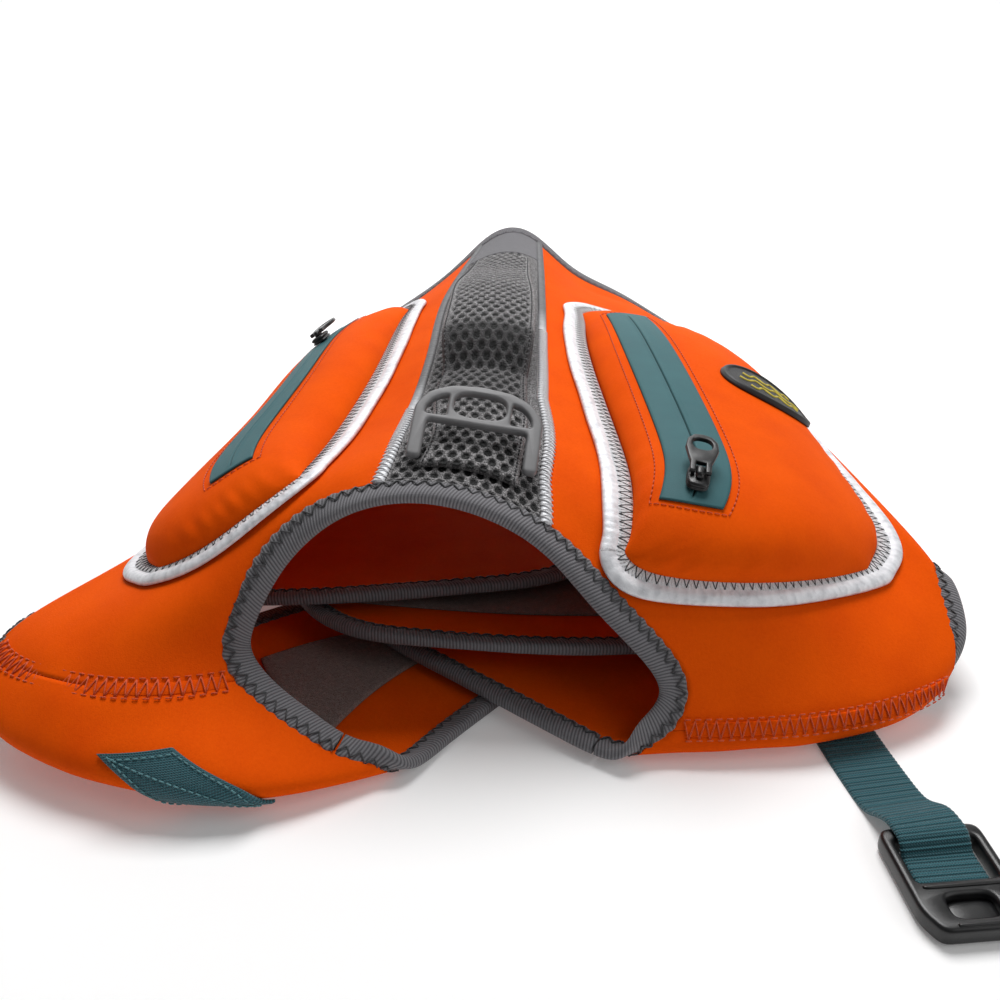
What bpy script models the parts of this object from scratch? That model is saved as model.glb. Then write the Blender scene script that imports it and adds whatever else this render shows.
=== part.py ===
"""Dog life jacket standing on its own flaps, as closed solids for Blender 4.5.

The garment is one smooth form with two parameters. The tables LEFT and RIGHT hold it: six stations
from the neck to the tail, each with points round the section. u counts those points, from 0 on the
spine to 7 at the tip of the right flap and to -7 at the tip of the left one. v counts the stations,
from 0 at the neck to 5 at the tail. Every cloth piece is a stretch of that form, moved out along its
normal. The tables are in millimetres in the layout frame: x to the right, y from the neck to the
tail, z up, with the inner face of the cloth at the points given.
"""

import math
from collections import namedtuple

import bmesh
import bpy
import numpy as np
from mathutils import Vector
from mathutils.geometry import tessellate_polygon

MM = 0.001

# The point of the layout frame, in millimetres, that becomes the origin
ORIGIN = (-5.66, 166.83, 0.0)

# Thicknesses, widths and gaps, in millimetres
WALL = 3.0
MESH_WALL = 3.4
SEAM = 0.3
BINDING_IN = -0.8
BINDING_OUT = 3.8
NECK_BINDING_WIDTH = 10.0
EDGE_BINDING_WIDTH = 8.0
CORNER_REACH = 0.55
BINDING_GAP = 0.8
FOLD_EASE = 12.0
NECK_OVERLAP = 3
FLOAT_GAP = 0.9
FLOAT_FLANGE = 1.4
FLOAT_BINDING_OUT = 2.2
LOOP_PATCH = 1.4
TRIM_GAP = 0.5
WEBBING = 1.6
WEBBING_WIDTH = 25.0
ZIP_TAPE = 0.9
BADGE = 2.4

Station = namedtuple("Station", "spine crown flank haunch side foot under tip")

RIGHT = {
    "neck": Station((-22, 50, 93), (17, 44, 79), (40, 34, 60), (58, 25, 44), (70, 16, 24), (55, 6, 7.5),
                    (23, 22, 8.6), (-57, 86, 10.4)),
    "collar": Station((-12, 85, 97), (32, 70, 84), (74, 52, 67), (112, 44, 49), (130, 28, 27), (112, 10, 8),
                      (45, 48, 8), (-42, 96, 10.4)),
    "shoulder": Station((-5, 125, 97), (45, 105, 82), (98, 92, 65), (152, 92, 44), (181, 62, 27), (162, 35, 8),
                        (80, 72, 7), (-25, 108, 10)),
    "mid": Station((0, 195, 97), (50, 192, 82), (107, 182, 66), (158, 151, 47), (182, 114, 34), (163, 104, 10),
                   (52, 54, 22.5), (-88, 71, 21.5)),
    "rear": Station((5, 290, 96), (52, 290, 78), (106, 290, 61), (152, 285, 38), (165, 269, 19), (138, 250, 3),
                    (50, 215, 4), (-78, 215, 5)),
    "tail": Station((12, 404, 97), (45, 404, 72), (81, 402, 54), (118, 396, 33), (136, 390, 17), (118, 380, 3),
                    (50, 360, 4), (-70, 350, 5)),
}
LEFT = {
    "neck": Station((-22, 50, 93), (-62, 49, 89), (-86, 40, 75), (-100, 28, 54), (-98, 15, 30), (-54, -6, 10),
                    (-29, 14, 4.2), (4, 54, 3.4)),
    "collar": Station((-12, 85, 97), (-60, 68, 92), (-94, 50, 75), (-122, 34, 54), (-146, 8, 32), (-112, -22, 12),
                      (-60, 32, 3), (8, 76, 3)),
    "shoulder": Station((-5, 125, 97), (-56, 118, 86), (-102, 98, 65), (-150, 72, 41), (-196, 44, 27),
                        (-178, 24, 11), (-96, 98, 4.5), (0, 112, 3)),
    "mid": Station((0, 195, 97), (-48, 192, 87), (-90, 182, 64), (-126, 150, 42), (-150, 116, 29),
                   (-138, 106, 18), (-85, 80, 29), (45, 95, 31)),
    "rear": Station((5, 290, 96), (-42, 290, 82), (-82, 290, 58), (-116, 284, 34), (-136, 268, 16),
                    (-128, 250, 8), (-60, 225, 15), (50, 215, 14)),
    "tail": Station((12, 404, 97), (-18, 402, 82), (-48, 398, 58), (-84, 394, 34), (-104, 386, 15),
                    (-92, 376, 5), (-50, 360, 12), (40, 350, 12)),
}

# Cloth seams, as u at a station
SEAM_U = 0.007
PIPING_U = 0.04
SpineSeam = namedtuple("SpineSeam", "v left right")
SPINE_SEAMS = (
    SpineSeam(0.0, -0.55, 0.97),
    SpineSeam(0.6, -0.57, 0.75),
    SpineSeam(2.2, -0.62, 0.43),
    SpineSeam(4.0, -0.72, 0.38),
    SpineSeam(5.0, -0.75, 0.38),
)
SIGN = {"right": 1, "left": -1}
CHEST_SEAM = {"right": 4.6, "left": 4.0}
BELLY_SEAM = 4.6
TIP = 7.0
TIP_ROUNDING = 0.3
FOLD_COLUMNS = (4.3, 4.6, 4.8, 4.95, 5.08, 5.2, 5.32, 5.45, 5.6, 5.8)
CHEST_V = (0.0, 2.0)
CHEST_ROWS = 14
BELLY_V = (3.0, 4.2)
BELLY_ROWS = 11
TAIL_ROWS = (4.4, 4.6, 4.8, 5.0)

# Top edge of each leg hole
LegEdge = namedtuple("LegEdge", "v right left")
LEG_EDGE = (
    LegEdge(2.0, 4.6, 4.0),
    LegEdge(2.06, 4.22, 3.93),
    LegEdge(2.2, 3.95, 3.87),
    LegEdge(2.45, 3.82, 3.84),
    LegEdge(2.66, 3.88, 3.92),
    LegEdge(2.82, 4.06, 4.08),
    LegEdge(2.9, 4.24, 4.22),
    LegEdge(2.96, 4.43, 4.42),
    LegEdge(3.0, 4.6, 4.6),
)

# Floats: the (u, v) of the front, middle and rear rows, from the spine edge outwards
FloatRow = namedtuple("FloatRow", "spine middle outer")
FLOATS = {
    "right": (
        FloatRow((1.62, -0.02), (2.6, 0.45), (3.55, 1.9)),
        FloatRow((0.84, 2.0), (2.0, 2.35), (3.2, 2.9)),
        FloatRow((0.50, 4.2), (1.6, 4.25), (2.7, 4.3)),
    ),
    "left": (
        FloatRow((-1.1, 0.8), (-2.1, 0.88), (-3.0, 1.45)),
        FloatRow((-1.02, 2.6), (-2.05, 2.7), (-3.1, 2.9)),
        FloatRow((-0.95, 4.35), (-1.85, 4.4), (-2.75, 4.35)),
    ),
}
FLOAT_SQUARENESS = 5.0
FLOAT_RIM = (0.78, 0.89)
FLOAT_BINDING_RIM = (0.795, 0.90)
FLOAT_HEIGHT = 17.0
FLOAT_FULLNESS = 3.6

# Distance from a float's middle where its corners start to round off, and where they are fully round
ROUNDING = (0.55, 1.0)

# Share of a float's height that is lost towards its outer edge, and where that starts and ends
FLOAT_TAPER = {"right": 0.32, "left": 0.0}
TAPER = (0.0, 0.8)

# Pieces on a float, in its own square from -1 to 1: across from the spine, and to the rear
Window = namedtuple("Window", "across_front across_rear front rear half_width slider slider_gap")
ZIPS = {
    "right": Window(-0.46, -0.42, -0.56, 0.74, 0.19, -0.43, 0.3),
    "left": Window(0.20, 0.02, -0.62, 0.74, 0.19, 0.52, 0.25),
}

# Loop patches and the webbing anchor: corner (u, v) pairs, in order
LEFT_LOOP = ((-5.76, 0.86), (-6.46, 1.18), (-6.48, 1.62), (-5.82, 1.70))
BELLY_LOOP = ((5.9, 3.12), (6.85, 3.12), (6.85, 3.9), (5.9, 3.9))
ANCHOR = ((-4.55, 1.10), (-4.50, 0.72), (-5.15, 0.62), (-5.15, 1.02))

# Handle: its middle and half width as u, and its lift off the spine panel in millimetres
HandleRow = namedtuple("HandleRow", "v middle half_width lift")
HANDLE = (
    HandleRow(0.25, 0.16, 0.42, 0.0),
    HandleRow(0.9, 0.09, 0.38, 0.0),
    HandleRow(1.4, 0.02, 0.37, 0.8),
    HandleRow(1.9, -0.05, 0.36, 1.5),
    HandleRow(2.2, -0.07, 0.35, 1.8),
    HandleRow(2.34, -0.07, 0.345, 2.8),
    HandleRow(2.43, -0.07, 0.34, 8.5),
    HandleRow(2.52, -0.075, 0.335, 14.2),
    HandleRow(2.66, -0.08, 0.33, 17.2),
    HandleRow(3.0, -0.09, 0.33, 18.0),
    HandleRow(3.4, -0.11, 0.33, 15.5),
    HandleRow(3.8, -0.13, 0.33, 9.5),
    HandleRow(4.15, -0.14, 0.34, 3.5),
    HandleRow(4.45, -0.14, 0.34, 0.4),
)
HANDLE_STEPS = ((0.25, 2.28, 15), (2.33, 2.55, 6), (2.62, 4.45, 14))
HANDLE_WALL = 3.0
TAIL_CAP_V = 4.6

# Leash ring: its outline's right half from the middle of its rear bar, its middle slot and its right window
RING_PLACE = (0.06, 0.9)
RING_AIM = (0.0, 1.4)
RING_LIFT = 13.6
RING_TILT = math.radians(24)
RING_THICKNESS = 3.6
RING_HALF = ((0, 12), (12, 10.8), (20.5, 6.5), (25.2, -1), (25.2, -25), (19.6, -25), (19.6, -7), (0, -7))
Slot = namedtuple("Slot", "x y half_width half_height power")
RING_SLOT = Slot(0, 2.2, 10.4, 5.8, 0.66)
RING_WINDOW = ((12.6, -4.3), (20.9, -4.3), (20.6, -0.8), (18.7, 2.4), (16.0, 4.6), (12.6, 5.8))

# Oval badge on the right float: middle and half sizes in the float's square
BADGE_PLACE = (0.37, 0.30)
BADGE_HALF = (0.35, 0.10)
BADGE_RIM = 0.8

# Zip slider and its hinged pull, in millimetres
SLIDER = (9.0, 13.0, 3.4)
SLIDER_AIM = 0.12
BRIDGE = (3.0, 6.4, 2.8)
PULL_THICKNESS = 2.0
PULL_AXIS_HEIGHT = 1.7
PRONG_INSIDE = 1.9
PRONG_OUTSIDE = 4.2
PULL_ROOT = 4.6
PULL_HALF = 6.6
PULL_LENGTH = 23.0
PULL_HOLE = Slot(0, 16.5, 4.0, 3.6, 0.8)

# Strap from the right anchor to its buckle: middle line, height of its underside, and its turn
StrapRow = namedtuple("StrapRow", "x y z turn")
STRAP = (
    StrapRow(132.0, 34, 0.75, 9),
    StrapRow(134.2, 21, 0.3, 9),
    StrapRow(136.6, 7, 0.0, 9),
    StrapRow(139.6, -9, 0.0, 10),
    StrapRow(141.8, -20, 1.5, 11),
    StrapRow(143.5, -28, 6.4, 12),
    StrapRow(144.6, -33, 8.4, 12),
    StrapRow(145.4, -37, 8.7, 10),
    StrapRow(146.1, -41, 8.0, 8),
    StrapRow(146.6, -44.5, 4.4, 7),
    StrapRow(147.1, -48, 3.2, 6),
    StrapRow(148.2, -57.4, 3.2, 6),
)

# Buckle: an open frame for the strap and a closed nose, in its own millimetres
BUCKLE_PLACE = (148.4, -56.4, 0.6)
BUCKLE_TURN = math.radians(5.5)
BUCKLE_THICKNESS = 7.0
BUCKLE_HALF = ((0, 22), (15.5, 22), (18, 19.5), (18, -13), (14, -22), (0, -22))
BUCKLE_SLOTS = (Slot(0, 7.0, 14.0, 9.0, 0.12), Slot(0, -12.5, 8.0, 4.5, 0.5))


def spline_weights(knots, at):
    """Weights of a natural cubic spline's values at the knots, one row for each place."""
    count = len(knots)
    step = np.diff(knots)
    system = np.eye(count)
    values = np.zeros((count, count))
    for i in range(1, count - 1):
        system[i, i - 1] = step[i - 1]
        system[i, i] = 2 * (step[i - 1] + step[i])
        system[i, i + 1] = step[i]
        values[i, i + 1] += 6 / step[i]
        values[i, i] -= 6 / step[i] + 6 / step[i - 1]
        values[i, i - 1] += 6 / step[i - 1]
    bend = np.linalg.solve(system, values)
    unit = np.eye(count)
    inside = np.clip(at, knots[0], knots[-1])
    i = np.clip(np.searchsorted(knots, inside, side="right") - 1, 0, count - 2)
    width = step[i][:, None]
    after = (inside - knots[i])[:, None]
    before = width - after
    weights = (bend[i + 1] * after**3 + bend[i] * before**3) / (6 * width)
    weights += (unit[i + 1] / width - bend[i + 1] * width / 6) * after
    weights += (unit[i] / width - bend[i] * width / 6) * before
    slope = (bend[i + 1] * after**2 - bend[i] * before**2) / (2 * width)
    slope += (unit[i + 1] - unit[i]) / width - (bend[i + 1] - bend[i]) * width / 6
    return weights + slope * (at - inside)[:, None]


def form_table(order):
    """Control points, a row for each station, from the left tip to the right tip.

    The flaps' columns hold only in the first two stations of the order, and run on straight from them.
    """
    rows = np.array([list(LEFT[name][::-1]) + list(RIGHT[name][1:]) for name in RIGHT], dtype=float)
    for before, last, after in zip(order, order[1:], order[2:]):
        for column in FLAP_COLUMNS:
            rows[after, column] = 2 * rows[last, column] - rows[before, column]
    return rows


FLAP_COLUMNS = (0, 1, -2, -1)
CHEST_FORM = form_table((1, 2, 3, 4, 5))
BELLY_FORM = form_table((4, 3, 2, 1, 0))


def garment(grid):
    """Points of the cloth's inner face, in millimetres, for an array of (u, v) pairs."""
    u, v = grid[..., 0].ravel(), grid[..., 1].ravel()
    u_weights = spline_weights(np.arange(-TIP, TIP + 1), u)
    v_weights = spline_weights(np.arange(float(len(RIGHT))), v)
    chest, belly = (np.einsum("nv,nu,vuc->nc", v_weights, u_weights, form) for form in (CHEST_FORM, BELLY_FORM))
    share = np.clip((v - CHEST_V[1]) / (BELLY_V[0] - CHEST_V[1]), 0, 1)
    share = (share**2 * (3 - 2 * share))[:, None]
    return (chest * (1 - share) + belly * share).reshape(grid.shape[:-1] + (3,))


def slopes(surface, grid, step=1e-3):
    """Derivatives of a surface's points along its two parameters."""
    first = np.array([step, 0.0])
    second = np.array([0.0, step])
    along_first = (surface(grid + first) - surface(grid - first)) / (2 * step)
    along_second = (surface(grid + second) - surface(grid - second)) / (2 * step)
    return along_first, along_second


def outward(surface, grid):
    """Unit normals of a surface, out of the garment."""
    along_first, along_second = slopes(surface, grid)
    normal = np.cross(along_first, along_second)
    return normal / np.linalg.norm(normal, axis=-1, keepdims=True)


def grounded(points, lift):
    """Keeps points above the floor, with the wall's full thickness under the inner face."""
    points[..., 2] = np.maximum(points[..., 2], np.maximum(WALL - lift, 0.0))
    return points


def lifted(surface, grid, lift):
    """Points of a surface moved out by lift, and kept above the floor."""
    lift = np.broadcast_to(np.asarray(lift, dtype=float), grid.shape[:-1])
    return grounded(surface(grid) + outward(surface, grid) * lift[..., None], lift)


def smooth_step(value, low, high):
    """0 below low, 1 above high and a smooth rise between them."""
    share = np.clip((value - low) / (high - low), 0, 1)
    return share**2 * (3 - 2 * share)


def round_off(square):
    """Rounds the square from -1 to 1 to a superellipse at its edge, and leaves its inside alone."""
    size = np.abs(square) + 1e-9
    total = np.sum(size**FLOAT_SQUARENESS, axis=-1, keepdims=True)**(1 / FLOAT_SQUARENESS)
    largest = np.max(size, axis=-1, keepdims=True)
    return square * (1 - smooth_step(largest, *ROUNDING) * (1 - largest / total))


def float_uv(side, square):
    """The (u, v) under places on a float's square, by quadratic blending of its nine points."""
    soft = round_off(square)
    blend = [(x * (x - 1) / 2, 1 - x**2, x * (x + 1) / 2) for x in (soft[..., 0], soft[..., 1])]
    table = np.array(FLOATS[side], dtype=float)
    if side == "left":
        table = table[:, ::-1]
    place = np.zeros(square.shape)
    for row in range(3):
        for column in range(3):
            weight = blend[0][column] * blend[1][row]
            place += weight[..., None] * table[row, column]
    return place


def float_lift(side, square):
    """Height of a float's top over its flange: full inside, round at the rim, thinner outwards."""
    across = np.clip(np.abs(square[..., 0]) / FLOAT_RIM[0], 0, 1)
    along = np.clip(np.abs(square[..., 1]) / FLOAT_RIM[1], 0, 1)
    thin = 1 - FLOAT_TAPER[side] * smooth_step(square[..., 0], *TAPER)
    return thin * FLOAT_HEIGHT * np.sqrt((1 - across**FLOAT_FULLNESS) * (1 - along**FLOAT_FULLNESS))


def float_top(side):
    """The surface of a float's top, with the float's square as its parameters."""
    def surface(square):
        base = WALL + FLOAT_GAP + FLOAT_FLANGE
        return lifted(garment, float_uv(side, square), base + float_lift(side, square))
    return surface


def new_finish(name, colour, roughness, metallic=0.0):
    """A Principled BSDF material."""
    material = bpy.data.materials.new(name)
    material.use_nodes = True
    shader = material.node_tree.nodes["Principled BSDF"]
    shader.inputs["Base Color"].default_value = (*colour, 1.0)
    shader.inputs["Roughness"].default_value = roughness
    shader.inputs["Metallic"].default_value = metallic
    return material


def new_object(name, verts, faces, finish, smooth=True, pivot=ORIGIN):
    """A mesh object from points in millimetres of the layout frame, with its faces outward."""
    mesh = bpy.data.meshes.new(name)
    places = (np.asarray(verts, dtype=float) - np.array(pivot)) * MM
    mesh.from_pydata(places.tolist(), [], faces)
    edit = bmesh.new()
    edit.from_mesh(mesh)
    bmesh.ops.recalc_face_normals(edit, faces=edit.faces)
    if edit.calc_volume(signed=True) < 0:
        bmesh.ops.reverse_faces(edit, faces=edit.faces)
    edit.to_mesh(mesh)
    edit.free()
    mesh.polygons.foreach_set("use_smooth", [smooth] * len(mesh.polygons))
    mesh.materials.append(finish)
    item = bpy.data.objects.new(name, mesh)
    item.location = (np.array(pivot) - np.array(ORIGIN)) * MM
    bpy.context.scene.collection.objects.link(item)
    return item


def quads(rows, columns, offset, closed):
    """Faces of one sheet of a grid, by vertex number. A closed grid joins its last row to its first."""
    faces = []
    for row in range(rows if closed else rows - 1):
        below = offset + row * columns
        above = offset + (row + 1) % rows * columns
        for column in range(columns - 1):
            faces.append((below + column, below + column + 1, above + column + 1, above + column))
    return faces


def edge_numbers(rows, columns, closed):
    """Vertex numbers along the open edges of one sheet, as runs."""
    left = [row * columns for row in range(rows)]
    right = [number + columns - 1 for number in left]
    if closed:
        return [left + left[:1], right + right[:1]]
    first = list(range(columns))
    last = [number + (rows - 1) * columns for number in first]
    return [left, right, first, last]


def solid_between(name, inner, outer, finish, closed=False):
    """A closed solid between two grids of points."""
    rows, columns = inner.shape[:2]
    count = rows * columns
    faces = quads(rows, columns, 0, closed) + quads(rows, columns, count, closed)
    for run in edge_numbers(rows, columns, closed):
        for one, two in zip(run[:-1], run[1:]):
            faces.append((one, two, two + count, one + count))
    points = np.concatenate([inner.reshape(-1, 3), outer.reshape(-1, 3)])
    return new_object(name, points, faces, finish)


def shell(name, grid, low, high, finish, surface=garment, closed=False):
    """A closed solid between two lifts of a surface over a grid of parameter pairs."""
    inner = lifted(surface, grid, low)
    outer = lifted(surface, grid, high)
    return solid_between(name, inner, outer, finish, closed)


def between(starts, ends, count):
    """A grid of parameter pairs: each row runs from its start to its end."""
    share = np.linspace(0, 1, count)[None, :, None]
    starts = np.asarray(starts, dtype=float)[:, None]
    ends = np.asarray(ends, dtype=float)[:, None]
    return starts * (1 - share) + ends * share


def four_corners(corners, rows, columns):
    """A grid of parameter pairs that fills a four-sided field."""
    one, two, three, four = (np.array(corner, dtype=float) for corner in corners)
    share = np.linspace(0, 1, rows)[:, None]
    return between(one * (1 - share) + four * share, two * (1 - share) + three * share, columns)


def spine_seam(v, side):
    """u of the seam between the spine panel and a side panel."""
    stations = [row.v for row in SPINE_SEAMS]
    return np.interp(v, stations, [getattr(row, side) for row in SPINE_SEAMS])


def side_end(v, side):
    """Size of u where the side panel ends: chest seam, leg hole, belly seam and free edge."""
    stations = [0.0] + [row.v for row in LEG_EDGE] + [5.0]
    ends = [CHEST_SEAM[side]] + [getattr(row, side) for row in LEG_EDGE] + [BELLY_SEAM]
    return np.interp(v, stations, ends)


def flap_rows(stations, count):
    """Stations of a flap's rows, close together where its tip is rounded."""
    first, last = stations
    rounding = TIP_ROUNDING * np.array([0.0, 0.15, 0.45, 1.0])
    middle = np.linspace(first + TIP_ROUNDING, last - TIP_ROUNDING, count - 6)[1:-1]
    return np.concatenate([first + rounding, middle, (last - rounding)[::-1]])


def garment_rows():
    """Stations of the rows that all panels share, so that their seams have the same corners."""
    leg = [row.v for row in LEG_EDGE[1:-1]]
    return np.concatenate([flap_rows(CHEST_V, CHEST_ROWS), leg, flap_rows(BELLY_V, BELLY_ROWS), TAIL_ROWS])


def side_grid(side, columns=15):
    """Parameter pairs of a side panel, from the spine seam outwards."""
    v = garment_rows()
    sign = SIGN[side]
    start = spine_seam(v, side) + sign * (PIPING_U + SEAM_U)
    end = sign * side_end(v, side)
    return between(np.stack([start, v], -1), np.stack([end, v], -1), columns)


def flap_grid(side, seam, stations, rows, columns=5):
    """Parameter pairs of a flap, from its seam, round its fold, to its rounded tip."""
    first, last = stations
    v = flap_rows(stations, rows)
    inset = np.clip(1 - np.minimum(v - first, last - v) / TIP_ROUNDING, 0, 1)
    tip = TIP - TIP_ROUNDING * (1 - np.sqrt(1 - inset**2))
    fold = [seam + SEAM_U] + [u for u in FOLD_COLUMNS if u > seam + 0.1]
    share = np.linspace(0, 1, columns + 1)[1:]
    reach = fold[-1] + (tip[:, None] - fold[-1]) * share
    u = np.concatenate([np.tile(fold, (len(v), 1)), reach], axis=1)
    return np.stack([SIGN[side] * u, np.broadcast_to(v[:, None], u.shape)], -1)


def band(path, width, lift):
    """Points beside a path on the garment, from the binding's gap to a width further off, moved out by lift.

    In a tight inside corner the band is narrower, as gathered binding is, and it stands a little
    clear of the edge where the cloth twists at a fold.
    """
    points = garment(path)
    normal = outward(garment, path)
    along = np.gradient(points, axis=0)
    spacing = np.linalg.norm(along, axis=-1, keepdims=True)
    across = np.cross(along, normal)
    across /= np.linalg.norm(across, axis=-1, keepdims=True)
    bend = np.sum(np.gradient(along / spacing, axis=0) / spacing * across, axis=-1)
    padded = np.pad(bend, 2, mode="edge")
    bend = np.max([padded[shift:shift + len(bend)] for shift in range(5)], axis=0)
    reach = np.minimum(width, CORNER_REACH / np.maximum(bend, 1e-3))
    twist = np.linalg.norm(np.gradient(normal, axis=0), axis=-1, keepdims=True) / spacing
    gap = BINDING_GAP + FOLD_EASE * twist
    edge = points + normal * lift
    near = edge + across * gap
    far = near + across * reach[:, None]
    return grounded(np.stack([near, far], axis=1), lift)


def bind(pieces, path, width, finish):
    """Edge binding outside a path that has its panels on the left, cut into named pieces.

    pieces gives each piece's name, its first row and its last row on the path.
    """
    inner = band(path, width, BINDING_IN)
    outer = band(path, width, BINDING_OUT)
    for name, first, last in pieces:
        low, high = inner[first:last + 1].copy(), outer[first:last + 1].copy()
        if first:
            for rows in (low, high):
                step = rows[1] - rows[0]
                rows[0] += step * SEAM / np.linalg.norm(step, axis=-1, keepdims=True)
        solid_between(name, low, high, finish)


def frame_on(surface, spot, toward, lift):
    """A frame in the layout's millimetres: z outwards, and y towards another spot of the surface."""
    grid = np.array([spot], dtype=float)
    normal = outward(surface, grid)[0]
    second = surface(np.array([toward], dtype=float))[0] - surface(grid)[0]
    second -= normal * (second @ normal)
    second /= np.linalg.norm(second)
    frame = np.eye(4)
    frame[:3, 0] = np.cross(second, normal)
    frame[:3, 1] = second
    frame[:3, 2] = normal
    frame[:3, 3] = surface(grid)[0] + normal * lift
    return frame


def tilted(frame, angle):
    """The frame turned about its own x axis."""
    turn = np.eye(4)
    turn[1:3, 1:3] = ((math.cos(angle), -math.sin(angle)), (math.sin(angle), math.cos(angle)))
    return frame @ turn


def placed(points, frame):
    """Points of a local frame in the layout frame."""
    points = np.asarray(points, dtype=float)
    return points @ frame[:3, :3].T + frame[:3, 3]


def oval(slot, count=14):
    """The outline of a slot: an ellipse for a power of 1, squarer for less."""
    angles = (np.arange(count) + 0.5) * 2 * math.pi / count
    cosines, sines = np.cos(angles), np.sin(angles)
    x = slot.x + slot.half_width * np.sign(cosines) * np.abs(cosines)**slot.power
    y = slot.y + slot.half_height * np.sign(sines) * np.abs(sines)**slot.power
    return [(float(one), float(two)) for one, two in zip(x, y)]


def mirrored(half):
    """A whole outline from its right half, which starts and ends on the middle line."""
    left = [(-x, y) for x, y in reversed(half[1:-1])]
    return list(half) + left


def plate(name, outline, holes, bottom, top, frame, finish, pivot=ORIGIN):
    """A flat plate with holes, between two heights of a local frame."""
    loops = [[Vector((x, y, 0.0)) for x, y in loop] for loop in [outline] + holes]
    triangles = tessellate_polygon(loops)
    flat = [(point.x, point.y) for loop in loops for point in loop]
    count = len(flat)
    points = [(x, y, bottom) for x, y in flat] + [(x, y, top) for x, y in flat]
    faces = [tuple(triangle) for triangle in triangles]
    faces += [tuple(number + count for number in triangle) for triangle in triangles]
    start = 0
    for loop in loops:
        numbers = list(range(start, start + len(loop)))
        for one, two in zip(numbers, numbers[1:] + numbers[:1]):
            faces.append((one, two, two + count, one + count))
        start += len(loop)
    return new_object(name, placed(points, frame), faces, finish, smooth=False, pivot=pivot)


def stacked(name, steps, frame, finish):
    """A stepped block: rectangles of half sizes x and y at heights z, joined from the bottom up."""
    points = []
    for half_x, half_y, z in steps:
        points += [(-half_x, -half_y, z), (half_x, -half_y, z), (half_x, half_y, z), (-half_x, half_y, z)]
    faces = [(3, 2, 1, 0), tuple(len(points) - 4 + corner for corner in range(4))]
    for step in range(len(steps) - 1):
        for corner in range(4):
            after = (corner + 1) % 4
            low, high = 4 * step, 4 * step + 4
            faces.append((low + corner, low + after, high + after, high + corner))
    return new_object(name, placed(points, frame), faces, finish, smooth=False)


def clear_scene():
    """Removes what the scene starts with."""
    for item in list(bpy.data.objects):
        bpy.data.objects.remove(item, do_unlink=True)


def make_finishes():
    """The part's materials, by name."""
    return {
        "neoprene": new_finish("orange_neoprene", (0.86, 0.12, 0.01), 0.75),
        "mesh": new_finish("grey_mesh", (0.16, 0.16, 0.17), 0.85),
        "ribbed": new_finish("grey_ribbed_binding", (0.18, 0.18, 0.19), 0.8),
        "loop": new_finish("grey_loop_pile", (0.22, 0.17, 0.16), 0.95),
        "silver": new_finish("silver_binding", (0.72, 0.73, 0.75), 0.45),
        "teal": new_finish("teal_webbing", (0.04, 0.16, 0.19), 0.8),
        "tape": new_finish("teal_zip_tape", (0.08, 0.22, 0.24), 0.55),
        "black": new_finish("black_plastic", (0.012, 0.012, 0.013), 0.4),
        "ring": new_finish("grey_plastic", (0.18, 0.18, 0.19), 0.5),
    }


def spine_grid(start, end, columns=6):
    """Parameter pairs of the spine panel between two stations."""
    rows = garment_rows()
    v = rows[(rows >= start) & (rows <= end)]
    inset = PIPING_U + SEAM_U
    left = np.stack([spine_seam(v, "left") + inset, v], -1)
    right = np.stack([spine_seam(v, "right") - inset, v], -1)
    return between(left, right, columns)


def build_spine(finish):
    """The spine panel, its plain tail cap, and the silver piping in both of its seams."""
    shell("spine_panel", spine_grid(0.0, TAIL_CAP_V), 0.0, MESH_WALL, finish["mesh"])
    cap = spine_grid(TAIL_CAP_V, 5.0)
    cap[0, :, 1] += SEAM_U
    shell("spine_tail_cap", cap, 0.0, MESH_WALL, finish["ribbed"])
    v = garment_rows()
    for side in SIGN:
        middle = spine_seam(v, side)
        half = PIPING_U - SEAM_U / 2
        grid = between(np.stack([middle - half, v], -1), np.stack([middle + half, v], -1), 2)
        shell("piping_" + side, grid, 0.0, WALL + 1.0, finish["silver"])


def panel_grids(side):
    """The grids of a side's three panels."""
    return {
        "side": side_grid(side),
        "chest": flap_grid(side, CHEST_SEAM[side], CHEST_V, CHEST_ROWS),
        "belly": flap_grid(side, BELLY_SEAM, BELLY_V, BELLY_ROWS),
    }


def build_panels(side, grids, finish):
    """The neoprene panels of one side."""
    for name, grid in grids.items():
        shell(f"{name}_{side}", grid, 0.0, WALL, finish["neoprene"])


def leg_edge(side):
    """The (u, v) pairs along the top of a leg hole."""
    return np.array([(SIGN[side] * getattr(row, side), row.v) for row in LEG_EDGE[1:-1]])


def flap_path(side, grids):
    """The bound edge of one side: along the chest flap, its tip, the leg hole and the belly flap."""
    chest, belly = grids["chest"], grids["belly"]
    return np.concatenate([
        chest[0, :-1],
        chest[:, -1],
        chest[-1, :-1][::-1],
        leg_edge(side),
        belly[0, :-1],
        belly[:, -1],
        belly[-1, 2:-1][::-1],
    ])


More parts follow.
